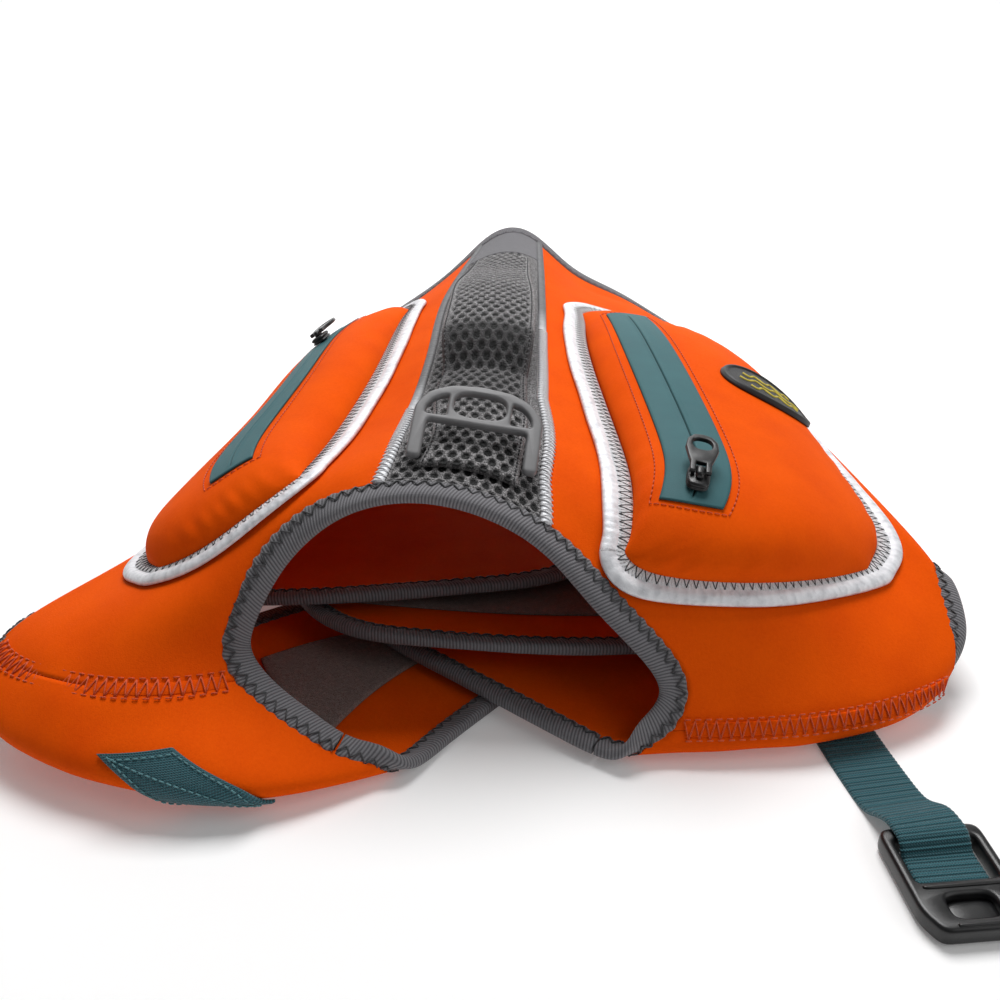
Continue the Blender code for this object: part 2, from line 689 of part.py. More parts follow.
def build_bindings(grids, finish):
    """Grey binding round the neck, round each side's flaps and leg hole, and along the rear hem."""
    left, right = grids["left"], grids["right"]
    flaps = {side: flap_path(side, grids[side]) for side in SIGN}
    spine = spine_grid(0.0, 5.0)
    collar = np.concatenate([left["side"][0][::-1], spine[0], right["side"][0]])
    path = np.concatenate([flaps["left"][::-1], collar, flaps["right"]])
    first = len(flaps["left"]) - 1 - NECK_OVERLAP
    last = len(flaps["left"]) + len(collar) + NECK_OVERLAP
    width = np.full(len(path), EDGE_BINDING_WIDTH)
    width[first:last + 1] = NECK_BINDING_WIDTH
    pieces = (
        ("flap_binding_left", 0, first),
        ("neck_binding", first, last),
        ("flap_binding_right", last, len(path) - 1),
    )
    bind(pieces, path, width, finish["ribbed"])
    free = len(TAIL_ROWS)
    hem = np.concatenate([
        right["side"][-free:-1, -1],
        right["side"][-1][::-1],
        spine[-1][::-1],
        left["side"][-1],
        left["side"][-free:-1, -1][::-1],
    ])
    bind((("hem_binding", 0, len(hem) - 1),), hem, np.full(len(hem), EDGE_BINDING_WIDTH), finish["ribbed"])


def build_float(side, finish):
    """One float: the padded body, and the silver binding round its flange."""
    spread = np.sin(np.linspace(-math.pi / 2, math.pi / 2, 16))
    across, along = np.meshgrid(spread * FLOAT_RIM[0], spread * FLOAT_RIM[1])
    square = np.stack([across, along], -1)
    base = WALL + FLOAT_GAP
    top = base + FLOAT_FLANGE + float_lift(side, square)
    shell("float_" + side, float_uv(side, square), base, top, finish["neoprene"])
    turn = spread[:-1]
    edge = np.ones_like(turn)
    loop = np.concatenate([
        np.stack([turn, -edge], -1), np.stack([edge, turn], -1),
        np.stack([-turn, edge], -1), np.stack([-edge, -turn], -1),
    ])
    ring = between(loop * np.array(FLOAT_BINDING_RIM), loop, 2)
    name = "float_binding_" + side
    shell(name, float_uv(side, ring), base, base + FLOAT_BINDING_OUT, finish["silver"], closed=True)


def zip_line(side, share):
    """Middle of a zip window in the float's square, from its front to its rear."""
    window = ZIPS[side]
    across = window.across_front + (window.across_rear - window.across_front) * share
    along = window.front + (window.rear - window.front) * share
    return np.stack([across, along], -1)


def build_zip(side, finish):
    """The welded zip window on a float, its slider and the slider's hinged pull."""
    surface = float_top(side)
    half = np.array([ZIPS[side].half_width, 0.0])
    line = zip_line(side, np.linspace(0, 1, 16))
    shell("zip_tape_" + side, between(line - half, line + half, 5), SEAM, SEAM + ZIP_TAPE, finish["tape"], surface)
    window = ZIPS[side]
    share = (window.slider - window.front) / (window.rear - window.front)
    spot, toward = zip_line(side, np.array([share, share + SLIDER_AIM]))
    frame = frame_on(surface, spot, toward, SEAM + ZIP_TAPE + window.slider_gap)
    half_width, half_length, height = SLIDER[0] / 2, SLIDER[1] / 2, SLIDER[2]
    steps = (
        (half_width, half_length, 0.0),
        (half_width, half_length, height),
        (BRIDGE[0] / 2, BRIDGE[1] / 2, height),
        (BRIDGE[0] / 2, BRIDGE[1] / 2, height + BRIDGE[2]),
    )
    stacked("slider_" + side, steps, frame, finish["black"])
    build_pull("zip_pull_" + side, frame, finish["black"])


def build_pull(name, frame, finish):
    """A zip pull, flat on its slider, with two prongs beside the bridge and its origin on the hinge."""
    axis = frame.copy()
    axis[:3, 3] += frame[:3, 2] * (SLIDER[2] + PULL_AXIS_HEIGHT)
    root, end = -PULL_THICKNESS / 2, PULL_LENGTH
    right = [
        (PRONG_INSIDE, PULL_ROOT), (PRONG_INSIDE, root), (PRONG_OUTSIDE, root), (PRONG_OUTSIDE, PULL_ROOT),
        (PULL_HALF - 1.5, PULL_ROOT + 3), (PULL_HALF, end - 9), (PULL_HALF - 0.6, end - 4), (PULL_HALF - 3, end - 0.8),
    ]
    outline = right + [(0.0, end)] + [(-x, y) for x, y in reversed(right)]
    half = PULL_THICKNESS / 2
    pivot = tuple(axis[:3, 3])
    plate(name, outline, [oval(PULL_HOLE)], -half, half, axis, finish, pivot)


def build_badge(finish):
    """The bare oval badge on the right float, with a raised rim."""
    radius = np.array([0.02, 0.5, 0.84, 0.88, 1.0])
    angle = np.arange(28) * 2 * math.pi / 28
    spokes = np.stack([np.cos(angle), np.sin(angle)], -1) * np.array(BADGE_HALF)
    grid = np.array(BADGE_PLACE) + spokes[:, None] * radius[None, :, None]
    height = np.where(radius > 0.86, BADGE, BADGE - BADGE_RIM)
    shell("badge", grid, SEAM, SEAM + height, finish["black"], float_top("right"), closed=True)


def build_handle(finish):
    """The padded mesh handle, arched over the spine panel."""
    rows = np.concatenate([np.linspace(first, last, count) for first, last, count in HANDLE_STEPS])
    knots = np.array([row.v for row in HANDLE])
    weights = spline_weights(knots, rows)
    middle, half, lift = (weights @ [row[field] for row in HANDLE] for field in (1, 2, 3))
    lift = np.maximum(lift, 0.0)
    grid = between(np.stack([middle - half, rows], -1), np.stack([middle + half, rows], -1), 5)
    low = MESH_WALL + SEAM + np.repeat(lift[:, None], 5, axis=1)
    shell("handle", grid, low, low + HANDLE_WALL, finish["mesh"])


def build_leash_ring(finish):
    """The plastic leash ring, leaning on the handle."""
    frame = tilted(frame_on(garment, RING_PLACE, RING_AIM, RING_LIFT), RING_TILT)
    other_window = [(-x, y) for x, y in reversed(RING_WINDOW)]
    holes = [oval(RING_SLOT), list(RING_WINDOW), other_window]
    plate("leash_ring", mirrored(RING_HALF), holes, 0.0, RING_THICKNESS, frame, finish["ring"])


def build_trim(finish):
    """Loop patches inside the flaps, and the webbing anchor on the left chest."""
    shell("loop_patch_chest", four_corners(LEFT_LOOP, 9, 6), -TRIM_GAP - LOOP_PATCH, -TRIM_GAP, finish["loop"])
    shell("loop_patch_belly", four_corners(BELLY_LOOP, 7, 9), -TRIM_GAP - LOOP_PATCH, -TRIM_GAP, finish["loop"])
    base = WALL + TRIM_GAP
    shell("webbing_anchor_left", four_corners(ANCHOR, 8, 6), base, base + WEBBING, finish["teal"])


def build_strap(finish):
    """The strap from the right chest, folded over its buckle, and the buckle."""
    table = np.array(STRAP, dtype=float)
    knots = np.arange(float(len(STRAP)))
    fine = spline_weights(knots, np.linspace(0, len(STRAP) - 1, 3 * len(STRAP))) @ table
    turn = np.radians(fine[:, 3])
    across = np.stack([np.cos(turn), np.sin(turn), np.zeros_like(turn)], -1)
    along = np.gradient(fine[:, :3], axis=0)
    up = np.cross(along, across)
    up /= np.linalg.norm(up, axis=-1, keepdims=True)
    reach = np.linspace(-0.5, 0.5, 4)[None, :, None] * WEBBING_WIDTH
    low = fine[:, None, :3] + across[:, None] * reach
    low[..., 2] = np.maximum(low[..., 2], 0.0)
    solid_between("strap", low, low + up[:, None] * WEBBING, finish["teal"])
    frame = np.eye(4)
    cosine, sine = math.cos(BUCKLE_TURN), math.sin(BUCKLE_TURN)
    frame[:2, :2] = ((cosine, -sine), (sine, cosine))
    frame[:3, 3] = BUCKLE_PLACE
    outline = mirrored(BUCKLE_HALF)
    holes = [oval(slot) for slot in BUCKLE_SLOTS]
    plate("buckle", outline, holes, 0.0, BUCKLE_THICKNESS, frame, finish["black"])


def main():
    """Builds the life jacket."""
    clear_scene()
    finish = make_finishes()
    build_spine(finish)
    grids = {side: panel_grids(side) for side in SIGN}
    for side in SIGN:
        build_panels(side, grids[side], finish)
        build_float(side, finish)
        build_zip(side, finish)
    build_bindings(grids, finish)
    build_badge(finish)
    build_handle(finish)
    build_leash_ring(finish)
    build_trim(finish)
    build_strap(finish)


main()
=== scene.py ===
"""Dog life jacket standing slumped on its own flaps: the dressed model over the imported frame.

The garment is one smooth form with two parameters, the same as in the part's source. u counts the
points round a section, from 0 on the spine to 7 at the tip of the right flap and to -7 at the tip of
the left one. v counts the stations, from 0 at the neck to 5 at the tail. Tables and sizes are in
millimetres in the layout frame: x to the right, y from the neck to the tail, z up.
"""

from __future__ import annotations

import logging
import math
from collections import namedtuple
from dataclasses import dataclass
from enum import Enum
from functools import partial
from typing import Callable

import bmesh
import bpy
import numpy as np
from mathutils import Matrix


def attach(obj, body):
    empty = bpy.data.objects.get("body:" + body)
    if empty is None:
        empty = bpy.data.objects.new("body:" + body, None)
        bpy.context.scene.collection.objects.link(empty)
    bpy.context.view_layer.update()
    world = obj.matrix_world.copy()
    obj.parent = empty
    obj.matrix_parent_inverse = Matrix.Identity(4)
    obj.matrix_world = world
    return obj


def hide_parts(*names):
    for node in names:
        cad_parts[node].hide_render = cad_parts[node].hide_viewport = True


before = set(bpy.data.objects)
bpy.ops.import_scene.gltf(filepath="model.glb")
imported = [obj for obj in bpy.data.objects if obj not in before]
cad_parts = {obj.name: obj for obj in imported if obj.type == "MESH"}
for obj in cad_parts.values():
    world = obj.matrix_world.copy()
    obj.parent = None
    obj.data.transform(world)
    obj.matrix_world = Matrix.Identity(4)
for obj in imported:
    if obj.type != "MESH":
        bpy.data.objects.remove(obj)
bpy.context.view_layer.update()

LOG = logging.getLogger("life_jacket")
MM = 0.001
Array = np.ndarray
Pair = tuple[float, float]
Colour = tuple[float, float, float]
Surface = Callable[[Array], Array]

# The part's origin in the layout, then the driving sizes of the cloth, its seams and the floats
ORIGIN = np.array((-5.66, 166.83, 0.0))
WALL = 3.0
MESH_WALL = 3.4
SEAM = 0.3
SEAM_U = 0.007
PIPING_U = 0.04
TIP = 7.0
TIP_ROUNDING = 0.3
CHEST_V = (0.0, 2.0)
BELLY_V = (3.0, 4.2)
BELLY_SEAM = 4.6
TAIL_CAP_V = 4.6
FLOAT_GAP = 0.9
FLOAT_BASE = WALL + FLOAT_GAP
FLOAT_FLANGE = 1.4
FLOAT_SQUARENESS = 5.0
SOFT_LARGEST = 22.0
FLOAT_RIM = (0.78, 0.89)
FLOAT_BINDING_RIM = (0.795, 0.90)
FLOAT_HEIGHT = 17.0
FLOAT_FULLNESS = 3.6
ROUNDING = (0.55, 1.0)
FLOAT_TAPER = {"right": 0.32, "left": 0.0}
TAPER = (0.0, 0.8)

Station = namedtuple("Station", "spine crown flank haunch side foot under tip")
SpineSeam = namedtuple("SpineSeam", "v left right")
LegEdge = namedtuple("LegEdge", "v right left")
Window = namedtuple("Window", "across_front across_rear front rear half_width slider slider_gap")
HandleRow = namedtuple("HandleRow", "v middle half_width lift")
StrapRow = namedtuple("StrapRow", "x y z turn")
Slot = namedtuple("Slot", "x y half_width half_height power")
Crease = namedtuple("Crease", "start end depth width")

RIGHT = {
    "neck": Station((-22, 50, 93), (17, 44, 79), (40, 34, 60), (58, 25, 44), (70, 16, 24), (55, 6, 7.5),
                    (23, 22, 8.6), (-57, 86, 10.4)),
    "collar": Station((-12, 85, 97), (32, 70, 84), (74, 52, 67), (112, 44, 49), (130, 28, 27), (112, 10, 8),
                      (45, 48, 8), (-42, 96, 10.4)),
    "shoulder": Station((-5, 125, 97), (45, 105, 82), (98, 92, 65), (152, 92, 44), (181, 62, 27), (162, 35, 8),
                        (80, 72, 7), (-25, 108, 10)),
    "mid": Station((0, 195, 97), (50, 192, 82), (107, 182, 66), (158, 151, 47), (182, 114, 34), (163, 104, 10),
                   (52, 54, 22.5), (-88, 71, 21.5)),
    "rear": Station((5, 290, 96), (52, 290, 78), (106, 290, 61), (152, 285, 38), (165, 269, 19), (138, 250, 3),
                    (50, 215, 4), (-78, 215, 5)),
    "tail": Station((12, 404, 97), (45, 404, 72), (81, 402, 54), (118, 396, 33), (136, 390, 17), (118, 380, 3),
                    (50, 360, 4), (-70, 350, 5)),
}
LEFT = {
    "neck": Station((-22, 50, 93), (-62, 49, 89), (-86, 40, 75), (-100, 28, 54), (-98, 15, 30), (-54, -6, 10),
                    (-29, 14, 4.2), (4, 54, 3.4)),
    "collar": Station((-12, 85, 97), (-60, 68, 92), (-94, 50, 75), (-122, 34, 54), (-146, 8, 32),
                      (-112, -22, 12), (-60, 32, 3), (8, 76, 3)),
    "shoulder": Station((-5, 125, 97), (-56, 118, 86), (-102, 98, 65), (-150, 72, 41), (-196, 44, 27),
                        (-178, 24, 11), (-96, 98, 4.5), (0, 112, 3)),
    "mid": Station((0, 195, 97), (-48, 192, 87), (-90, 182, 64), (-126, 150, 42), (-150, 116, 29),
                   (-138, 106, 18), (-85, 80, 29), (45, 95, 31)),
    "rear": Station((5, 290, 96), (-42, 290, 82), (-82, 290, 58), (-116, 284, 34), (-136, 268, 16),
                    (-128, 250, 8), (-60, 225, 15), (50, 215, 14)),
    "tail": Station((12, 404, 97), (-18, 402, 82), (-48, 398, 58), (-84, 394, 34), (-104, 386, 15),
                    (-92, 376, 5), (-50, 360, 12), (40, 350, 12)),
}
SPINE_SEAMS = (SpineSeam(0.0, -0.55, 0.97), SpineSeam(0.6, -0.57, 0.75), SpineSeam(2.2, -0.62, 0.43),
               SpineSeam(4.0, -0.72, 0.38), SpineSeam(5.0, -0.75, 0.38))
LEG_EDGE = (LegEdge(2.0, 4.6, 4.0), LegEdge(2.06, 4.22, 3.93), LegEdge(2.2, 3.95, 3.87),
            LegEdge(2.45, 3.82, 3.84), LegEdge(2.66, 3.88, 3.92), LegEdge(2.82, 4.06, 4.08),
            LegEdge(2.9, 4.24, 4.22), LegEdge(2.96, 4.43, 4.42), LegEdge(3.0, 4.6, 4.6))
FLAP_COLUMNS = (0, 1, -2, -1)


class Side(Enum):
    """The garment's two sides, as they lie in the layout."""

    RIGHT = "right"
    LEFT = "left"

    @property
    def sign(self) -> int:
        """1 on the right and -1 on the left."""
        return 1 if self is Side.RIGHT else -1

    @property
    def chest_seam(self) -> float:
        """Size of u where the chest flap is sewn on."""
        return 4.6 if self is Side.RIGHT else 4.0


class Body(Enum):
    """The rigid bodies that pieces ride on."""

    JACKET = "jacket"
    PULL_RIGHT = "pull_right"
    PULL_LEFT = "pull_left"


# The garment's form


def unit(vectors: Array) -> Array:
    """Vectors scaled to a length of 1."""
    return vectors / np.linalg.norm(vectors, axis=-1, keepdims=True)


def run_lengths(points: Array) -> Array:
    """Length along a path up to each of its points."""
    return np.concatenate([[0.0], np.linalg.norm(np.diff(points, axis=0), axis=-1).cumsum()])


def read_at(places: Array, lengths: Array, values: Array) -> Array:
    """Columns of values read at places, straight between the given lengths."""
    return np.stack([np.interp(places, lengths, column) for column in values.T], -1)


def full_turn(count: int) -> Array:
    """Even angles round a circle."""
    return np.linspace(0, 2 * math.pi, count, endpoint=False)


def squarish(values: Array, power: float) -> Array:
    """Values raised to a power with their signs kept, which squares or sharpens a circle's sines."""
    return np.sign(values) * np.abs(values)**power


def from_ends(count: int) -> Array:
    """Count of steps from each place of a row to the nearer end."""
    return np.minimum(np.arange(count), np.arange(count)[::-1]).astype(float)


def spline_weights(knots: Array, at: Array) -> Array:
    """Weights of a natural cubic spline's values at its knots, straight beyond its ends.

    Args:
        knots: increasing places of the values.
        at: places to read.
    Returns:
        One row of weights for each place.
    """
    count = len(knots)
    step = np.diff(knots)
    system = np.eye(count)
    values = np.zeros((count, count))
    for i in range(1, count - 1):
        system[i, i - 1] = step[i - 1]
        system[i, i] = 2 * (step[i - 1] + step[i])
        system[i, i + 1] = step[i]
        values[i, i + 1] += 6 / step[i]
        values[i, i] -= 6 / step[i] + 6 / step[i - 1]
        values[i, i - 1] += 6 / step[i - 1]
    bend = np.linalg.solve(system, values)
    own = np.eye(count)
    inside = np.clip(at, knots[0], knots[-1])
    i = np.clip(np.searchsorted(knots, inside, side="right") - 1, 0, count - 2)
    width = step[i][:, None]
    after = (inside - knots[i])[:, None]
    before = width - after
    weights = (bend[i + 1] * after**3 + bend[i] * before**3) / (6 * width)
    weights += (own[i + 1] / width - bend[i + 1] * width / 6) * after
    weights += (own[i] / width - bend[i] * width / 6) * before
    slope = (bend[i + 1] * after**2 - bend[i] * before**2) / (2 * width)
    slope += (own[i + 1] - own[i]) / width - (bend[i + 1] - bend[i]) * width / 6
    return weights + slope * (at - inside)[:, None]


def form_table(order: tuple[int, ...]) -> Array:
    """Control points, a row for each station, from the left tip to the right tip.

    Args:
        order: stations; the flaps' columns hold in the first two and run on straight from them.
    Returns:
        Array of stations, columns and coordinates.
    """
    rows = np.array([list(LEFT[name][::-1]) + list(RIGHT[name][1:]) for name in RIGHT], dtype=float)
    for before, last, after in zip(order, order[1:], order[2:]):
        for column in FLAP_COLUMNS:
            rows[after, column] = 2 * rows[last, column] - rows[before, column]
    return rows


CHEST_FORM = form_table((1, 2, 3, 4, 5))
BELLY_FORM = form_table((4, 3, 2, 1, 0))


def garment(grid: Array) -> Array:
    """Points of the cloth's inner face for (u, v) pairs.

    A natural spline runs through the stations both ways, and the chest's form blends into the
    belly's over the leg holes by a smooth step.

    Args:
        grid: pairs of u and v.
    Returns:
        A point for each.
    """
    u, v = grid[..., 0].ravel(), grid[..., 1].ravel()
    u_weights = spline_weights(np.arange(-TIP, TIP + 1), u)
    v_weights = spline_weights(np.arange(float(len(RIGHT))), v)
    chest, belly = (np.einsum("nv,nvc->nc", v_weights, np.einsum("nu,vuc->nvc", u_weights, form))
                    for form in (CHEST_FORM, BELLY_FORM))
    share = np.clip((v - CHEST_V[1]) / (BELLY_V[0] - CHEST_V[1]), 0, 1)
    share = (share**2 * (3 - 2 * share))[:, None]
    return (chest * (1 - share) + belly * share).reshape(grid.shape[:-1] + (3,))


def outward(surface: Surface, grid: Array, step: float = 1e-3) -> Array:
    """Unit normals of a surface: the cross product of its two slopes.

    Args:
        surface: maps pairs to points.
        grid: the pairs.
        step: half of the stretch that the slopes span.
    Returns:
        A unit vector for each.
    """
    first, second = np.array([step, 0.0]), np.array([0.0, step])
    along_first = surface(grid + first) - surface(grid - first)
    along_second = surface(grid + second) - surface(grid - second)
    return unit(np.cross(along_first, along_second))


def lifted(surface: Surface, grid: Array, lift: Array | float) -> Array:
    """Points of a surface moved out by lift, and kept above the floor with the wall under them.

    Args:
        surface: maps pairs to points.
        grid: the pairs.
        lift: distance for all or for each.
    Returns:
        A point for each.
    """
    lift = np.broadcast_to(np.asarray(lift, dtype=float), grid.shape[:-1])
    points = surface(grid) + outward(surface, grid) * lift[..., None]
    points[..., 2] = np.maximum(points[..., 2], np.maximum(WALL - lift, 0.0))
    return points


def between(starts: Array, ends: Array, share: Array) -> Array:
    """A grid of pairs: each row runs from its start to its end, at the given shares of the way."""
    share = np.asarray(share, dtype=float)[None, :, None]
    starts = np.asarray(starts, dtype=float)[:, None]
    ends = np.asarray(ends, dtype=float)[:, None]
    return starts * (1 - share) + ends * share


def four_corners(corners: tuple[Pair, ...], rows: int, columns: int) -> Array:
    """A grid of pairs that fills a four-sided field by blending its corners.

    Args:
        corners: pairs in order round the field.
        rows, columns: size of the grid.
    Returns:
        The grid.
    """
    one, two, three, four = (np.array(corner, dtype=float) for corner in corners)
    share = np.linspace(0, 1, rows)[:, None]
    starts = one * (1 - share) + four * share
    ends = two * (1 - share) + three * share
    return between(starts, ends, np.linspace(0, 1, columns))


def spine_seam(v: Array, side: Side) -> Array:
    """u of the seam between the spine panel and a side panel."""
    return np.interp(v, [row.v for row in SPINE_SEAMS], [getattr(row, side.value) for row in SPINE_SEAMS])


def side_end(v: Array, side: Side) -> Array:
    """Size of u where a side panel ends: chest seam, leg hole, belly seam and free edge.

    Args:
        v: stations.
        side: which panel.
    Returns:
        Size of u for each.
    """
    stations = [0.0] + [row.v for row in LEG_EDGE] + [5.0]
    ends = [side.chest_seam] + [getattr(row, side.value) for row in LEG_EDGE] + [BELLY_SEAM]
    return np.interp(v, stations, ends)


def smooth_step(x: Array, low: float, high: float) -> Array:
    """0 under low, 1 over high, and the cubic step between."""
    share = np.clip((x - low) / (high - low), 0, 1)
    return share**2 * (3 - 2 * share)


def crease_lift(points: Array, creases: tuple[Crease, ...]) -> Array:
    """Height that creases add: each is a bell across its distance from a straight line in space.

    Args:
        points: points on the cloth.
        creases: their two ends as (u, v), their depth, under 0 for a trough, and their width.
    Returns:
        Height for each point.
    """
    total = np.zeros(points.shape[:-1])
    for crease in creases:
        start, end = garment(np.array([crease.start, crease.end], dtype=float))
        line = end - start
        share = np.clip((points - start) @ line / (line @ line), 0, 1)
        off = np.linalg.norm(points - start - share[..., None] * line, axis=-1)
        fade = 0.35 + 0.65 * np.sin(math.pi * np.clip(share, 0.02, 0.98))
        total += crease.depth * fade * np.exp(-((off / crease.width)**2))
    return total


# Meshes


def linked(name: str, data: bpy.types.ID) -> bpy.types.Object:
    """A new object with the given data, in the scene.

    Args:
        name: its name.
        data: its mesh, curve, light or camera.
    Returns:
        The object.
    """
    item = bpy.data.objects.new(name, data)
    bpy.context.scene.collection.objects.link(item)
    return item


def volume_sum(points: Array, faces: list[Array]) -> float:
    """Six times the volume that faces close in, below 0 where they point inwards.

    Args:
        points: points, a row each.
        faces: arrays of vertex numbers, one array for each count of corners.
    Returns:
        The sum over the fans of triangles.
    """
    total = 0.0
    for group in faces:
        for corner in range(1, group.shape[1] - 1):
            one, two, three = points[group[:, 0]], points[group[:, corner]], points[group[:, corner + 1]]
            total += float(np.einsum("ij,ij->", one - points[0], np.cross(two - points[0], three - points[0])))
    return total


def new_piece(name: str, points: Array, faces: list[Array], uv: Array | None = None,
              marks: dict[str, Array] | None = None, smooth: bool = True) -> bpy.types.Object:
    """A mesh object at the origin from points in millimetres of the layout frame.

    Args:
        name: the piece's name.
        points: points, a row each.
        faces: arrays of vertex numbers, one array for each count of corners.
        uv: a pair for each point, in millimetres.
        marks: named values, one for each point.
        smooth: smooth shading.
    Returns:
        The object, linked to the scene.
    """
    points = points.reshape(-1, 3)
    faces = [group for group in faces if len(group)]
    if volume_sum(points, faces) < 0:
        faces = [group[:, ::-1] for group in faces]
    loops = np.concatenate([group.ravel() for group in faces]).astype(np.int32)
    sizes = np.concatenate([np.full(len(group), group.shape[1]) for group in faces])
    mesh = bpy.data.meshes.new(name)
    mesh.vertices.add(len(points))
    mesh.vertices.foreach_set("co", ((points - ORIGIN) * MM).astype(np.float32).ravel())
    mesh.loops.add(len(loops))
    mesh.loops.foreach_set("vertex_index", loops)
    mesh.polygons.add(len(sizes))
    mesh.polygons.foreach_set("loop_start", np.concatenate([[0], np.cumsum(sizes)[:-1]]).astype(np.int32))
    mesh.update(calc_edges=True)
    mesh.validate()
    mesh.polygons.foreach_set("use_smooth", [smooth] * len(mesh.polygons))
    if uv is not None:
        layer = mesh.uv_layers.new(name="cut")
        layer.data.foreach_set("uv", uv.reshape(-1, 2)[loops].astype(np.float32).ravel())
    for mark, values in (marks or {}).items():
        attribute = mesh.attributes.new(mark, "FLOAT", "POINT")
        attribute.data.foreach_set("value", values.ravel().astype(np.float32))
    return linked(name, mesh)


def grid_quads(rows: int, columns: int, offset: int = 0, wrap_rows: bool = False,
               wrap_columns: bool = False) -> Array:
    """Vertex numbers of a grid's quads; a wrapped direction joins its last line to its first.

    Args:
        rows, columns: size of the grid.
        offset: number of its first vertex.
        wrap_rows, wrap_columns: which directions are joined.
    Returns:
        Four numbers a quad.
    """
    row, column = np.meshgrid(np.arange(rows if wrap_rows else rows - 1),
                              np.arange(columns if wrap_columns else columns - 1), indexing="ij")
    row, column = row.ravel(), column.ravel()
    after_row, after_column = (row + 1) % rows, (column + 1) % columns
    return offset + np.stack([row * columns + column, row * columns + after_column,
                              after_row * columns + after_column, after_row * columns + column], -1)


def cut_lengths(points: Array) -> Array:
    """Lengths over the cloth for each point of a grid: across its rows, and along its middle column.

    Args:
        points: grid of points.
    Returns:
        Millimetres across and along for each.
    """
    across = np.linalg.norm(np.diff(points, axis=1), axis=-1).cumsum(axis=1)
    across = np.concatenate([np.zeros((len(points), 1)), across], axis=1)
    along = run_lengths(points[:, points.shape[1] // 2])
    return np.stack([across - across[:, -1:] / 2, np.broadcast_to(along[:, None], across.shape)], -1)


def cloth_area(points: Array) -> float:
    """Area of a grid of points, as the sum of its quads' halved diagonal products.

    Args:
        points: grid of points.
    Returns:
        Square millimetres.
    """
    one = points[1:, 1:] - points[:-1, :-1]
    two = points[1:, :-1] - points[:-1, 1:]
    return float(np.linalg.norm(np.cross(one, two), axis=-1).sum() / 2)


def closed_sheet(name: str, low: Array, high: Array, wrap: bool = False,
                 marks: dict[str, Array] | None = None) -> bpy.types.Object:
    """A closed sheet between two grids of points, joined along their open edges.

    Args:
        name: the piece's name.
        low, high: grids of points of its two faces.
        wrap: rows joined in a ring.
        marks: named values for each point of the upper face.
    Returns:
        The object.
    """
    rows, columns = low.shape[:2]
    count = rows * columns
    numbers = np.arange(count).reshape(rows, columns)
    faces = [grid_quads(rows, columns, 0, wrap)[:, ::-1], grid_quads(rows, columns, count, wrap)]
    sides = [(numbers[:, 0], True), (numbers[:, -1], False)]
    if wrap:
        sides = [(np.append(run, run[0]), turn) for run, turn in sides]
    else:
        sides += [(numbers[0], False), (numbers[-1], True)]
    for run, turn in sides:
        rim = np.stack([run[:-1], run[1:], run[1:] + count, run[:-1] + count], -1)
        faces.append(rim[:, ::-1] if turn else rim)
    uv = cut_lengths(high)
    marks = {mark: np.stack([values * 0, values]) for mark, values in (marks or {}).items()}
    return new_piece(name, np.stack([low, high]), [np.concatenate(faces)], np.stack([uv, uv]), marks)


@dataclass
class Ribbon:
    """A path in space with its surface normals, for bindings, tapes and rows of stitches."""

    points: Array
    normal: Array
    closed: bool = False

    @property
    def lengths(self) -> Array:
        """Length along the path up to each point."""
        return run_lengths(self.points)

    @property
    def across(self) -> Array:
        """Unit vectors to the side of the path: its direction crossed with its normal."""
        if self.closed:
            padded = np.concatenate([self.points[-2:-1], self.points, self.points[1:2]])
            along = np.gradient(padded, axis=0)[1:-1]
        else:
            along = np.gradient(self.points, axis=0)
        return unit(np.cross(along, self.normal))

    def at(self, places: Array) -> tuple[Array, Array, Array]:
        """Points, normals and side vectors at given lengths along the path."""
        lengths = self.lengths
        return tuple(read_at(places, lengths, values) for values in (self.points, self.normal, self.across))

    def resampled(self, step: float) -> Ribbon:
        """The same path with evenly spaced points.

        Args:
            step: wanted spacing.
        Returns:
            The ribbon.
        """
        lengths = self.lengths
        places = np.linspace(0, lengths[-1], max(4, int(round(lengths[-1] / step)) + 1))
        normal = unit(read_at(places, lengths, self.normal))
        return Ribbon(read_at(places, lengths, self.points), normal, self.closed)

    def smoothed(self, reach: float, normal_reach: float) -> Ribbon:
        """The path and its normals averaged under a bell curve of the given reach, ends held.

        Args:
            reach: the bell's width for the points.
            normal_reach: and for the normals.
        Returns:
            The ribbon.
        """
        spacing = self.lengths[-1] / (len(self.points) - 1)

        def soft(values: Array, width: float) -> Array:
            """One array averaged along its first axis.

            Args:
                values: the array.
                width: the bell's width.
            Returns:
                The averaged array.
            """
            half = max(1, int(3 * width / spacing))
            half = min(half, len(values) - 2)
            bell = np.exp(-0.5 * (np.arange(-half, half + 1) * spacing / width)**2)
            bell /= bell.sum()
            if self.closed:
                padded = np.concatenate([values[-half - 1:-1], values, values[1:half + 1]])
            else:
                head = 2 * values[0] - values[half:0:-1]
                tail = 2 * values[-1] - values[-2:-half - 2:-1]
                padded = np.concatenate([head, values, tail])
            return np.stack([np.convolve(padded[:, axis], bell, mode="valid") for axis in range(3)], -1)

        return Ribbon(soft(self.points, reach), unit(soft(self.normal, normal_reach)), self.closed)

    def moved(self, sideways: Array | float, up: float = 0.0) -> Ribbon:
        """The path shifted along its side vectors and its normals."""
        sideways = np.broadcast_to(np.asarray(sideways, dtype=float), len(self.points))[:, None]
        return Ribbon(self.points + self.across * sideways + self.normal * up, self.normal, self.closed)

    def part(self, first: float, last: float) -> Ribbon:
        """The stretch between two lengths."""
        keep = (self.lengths >= first) & (self.lengths <= last)
        return Ribbon(self.points[keep], self.normal[keep])


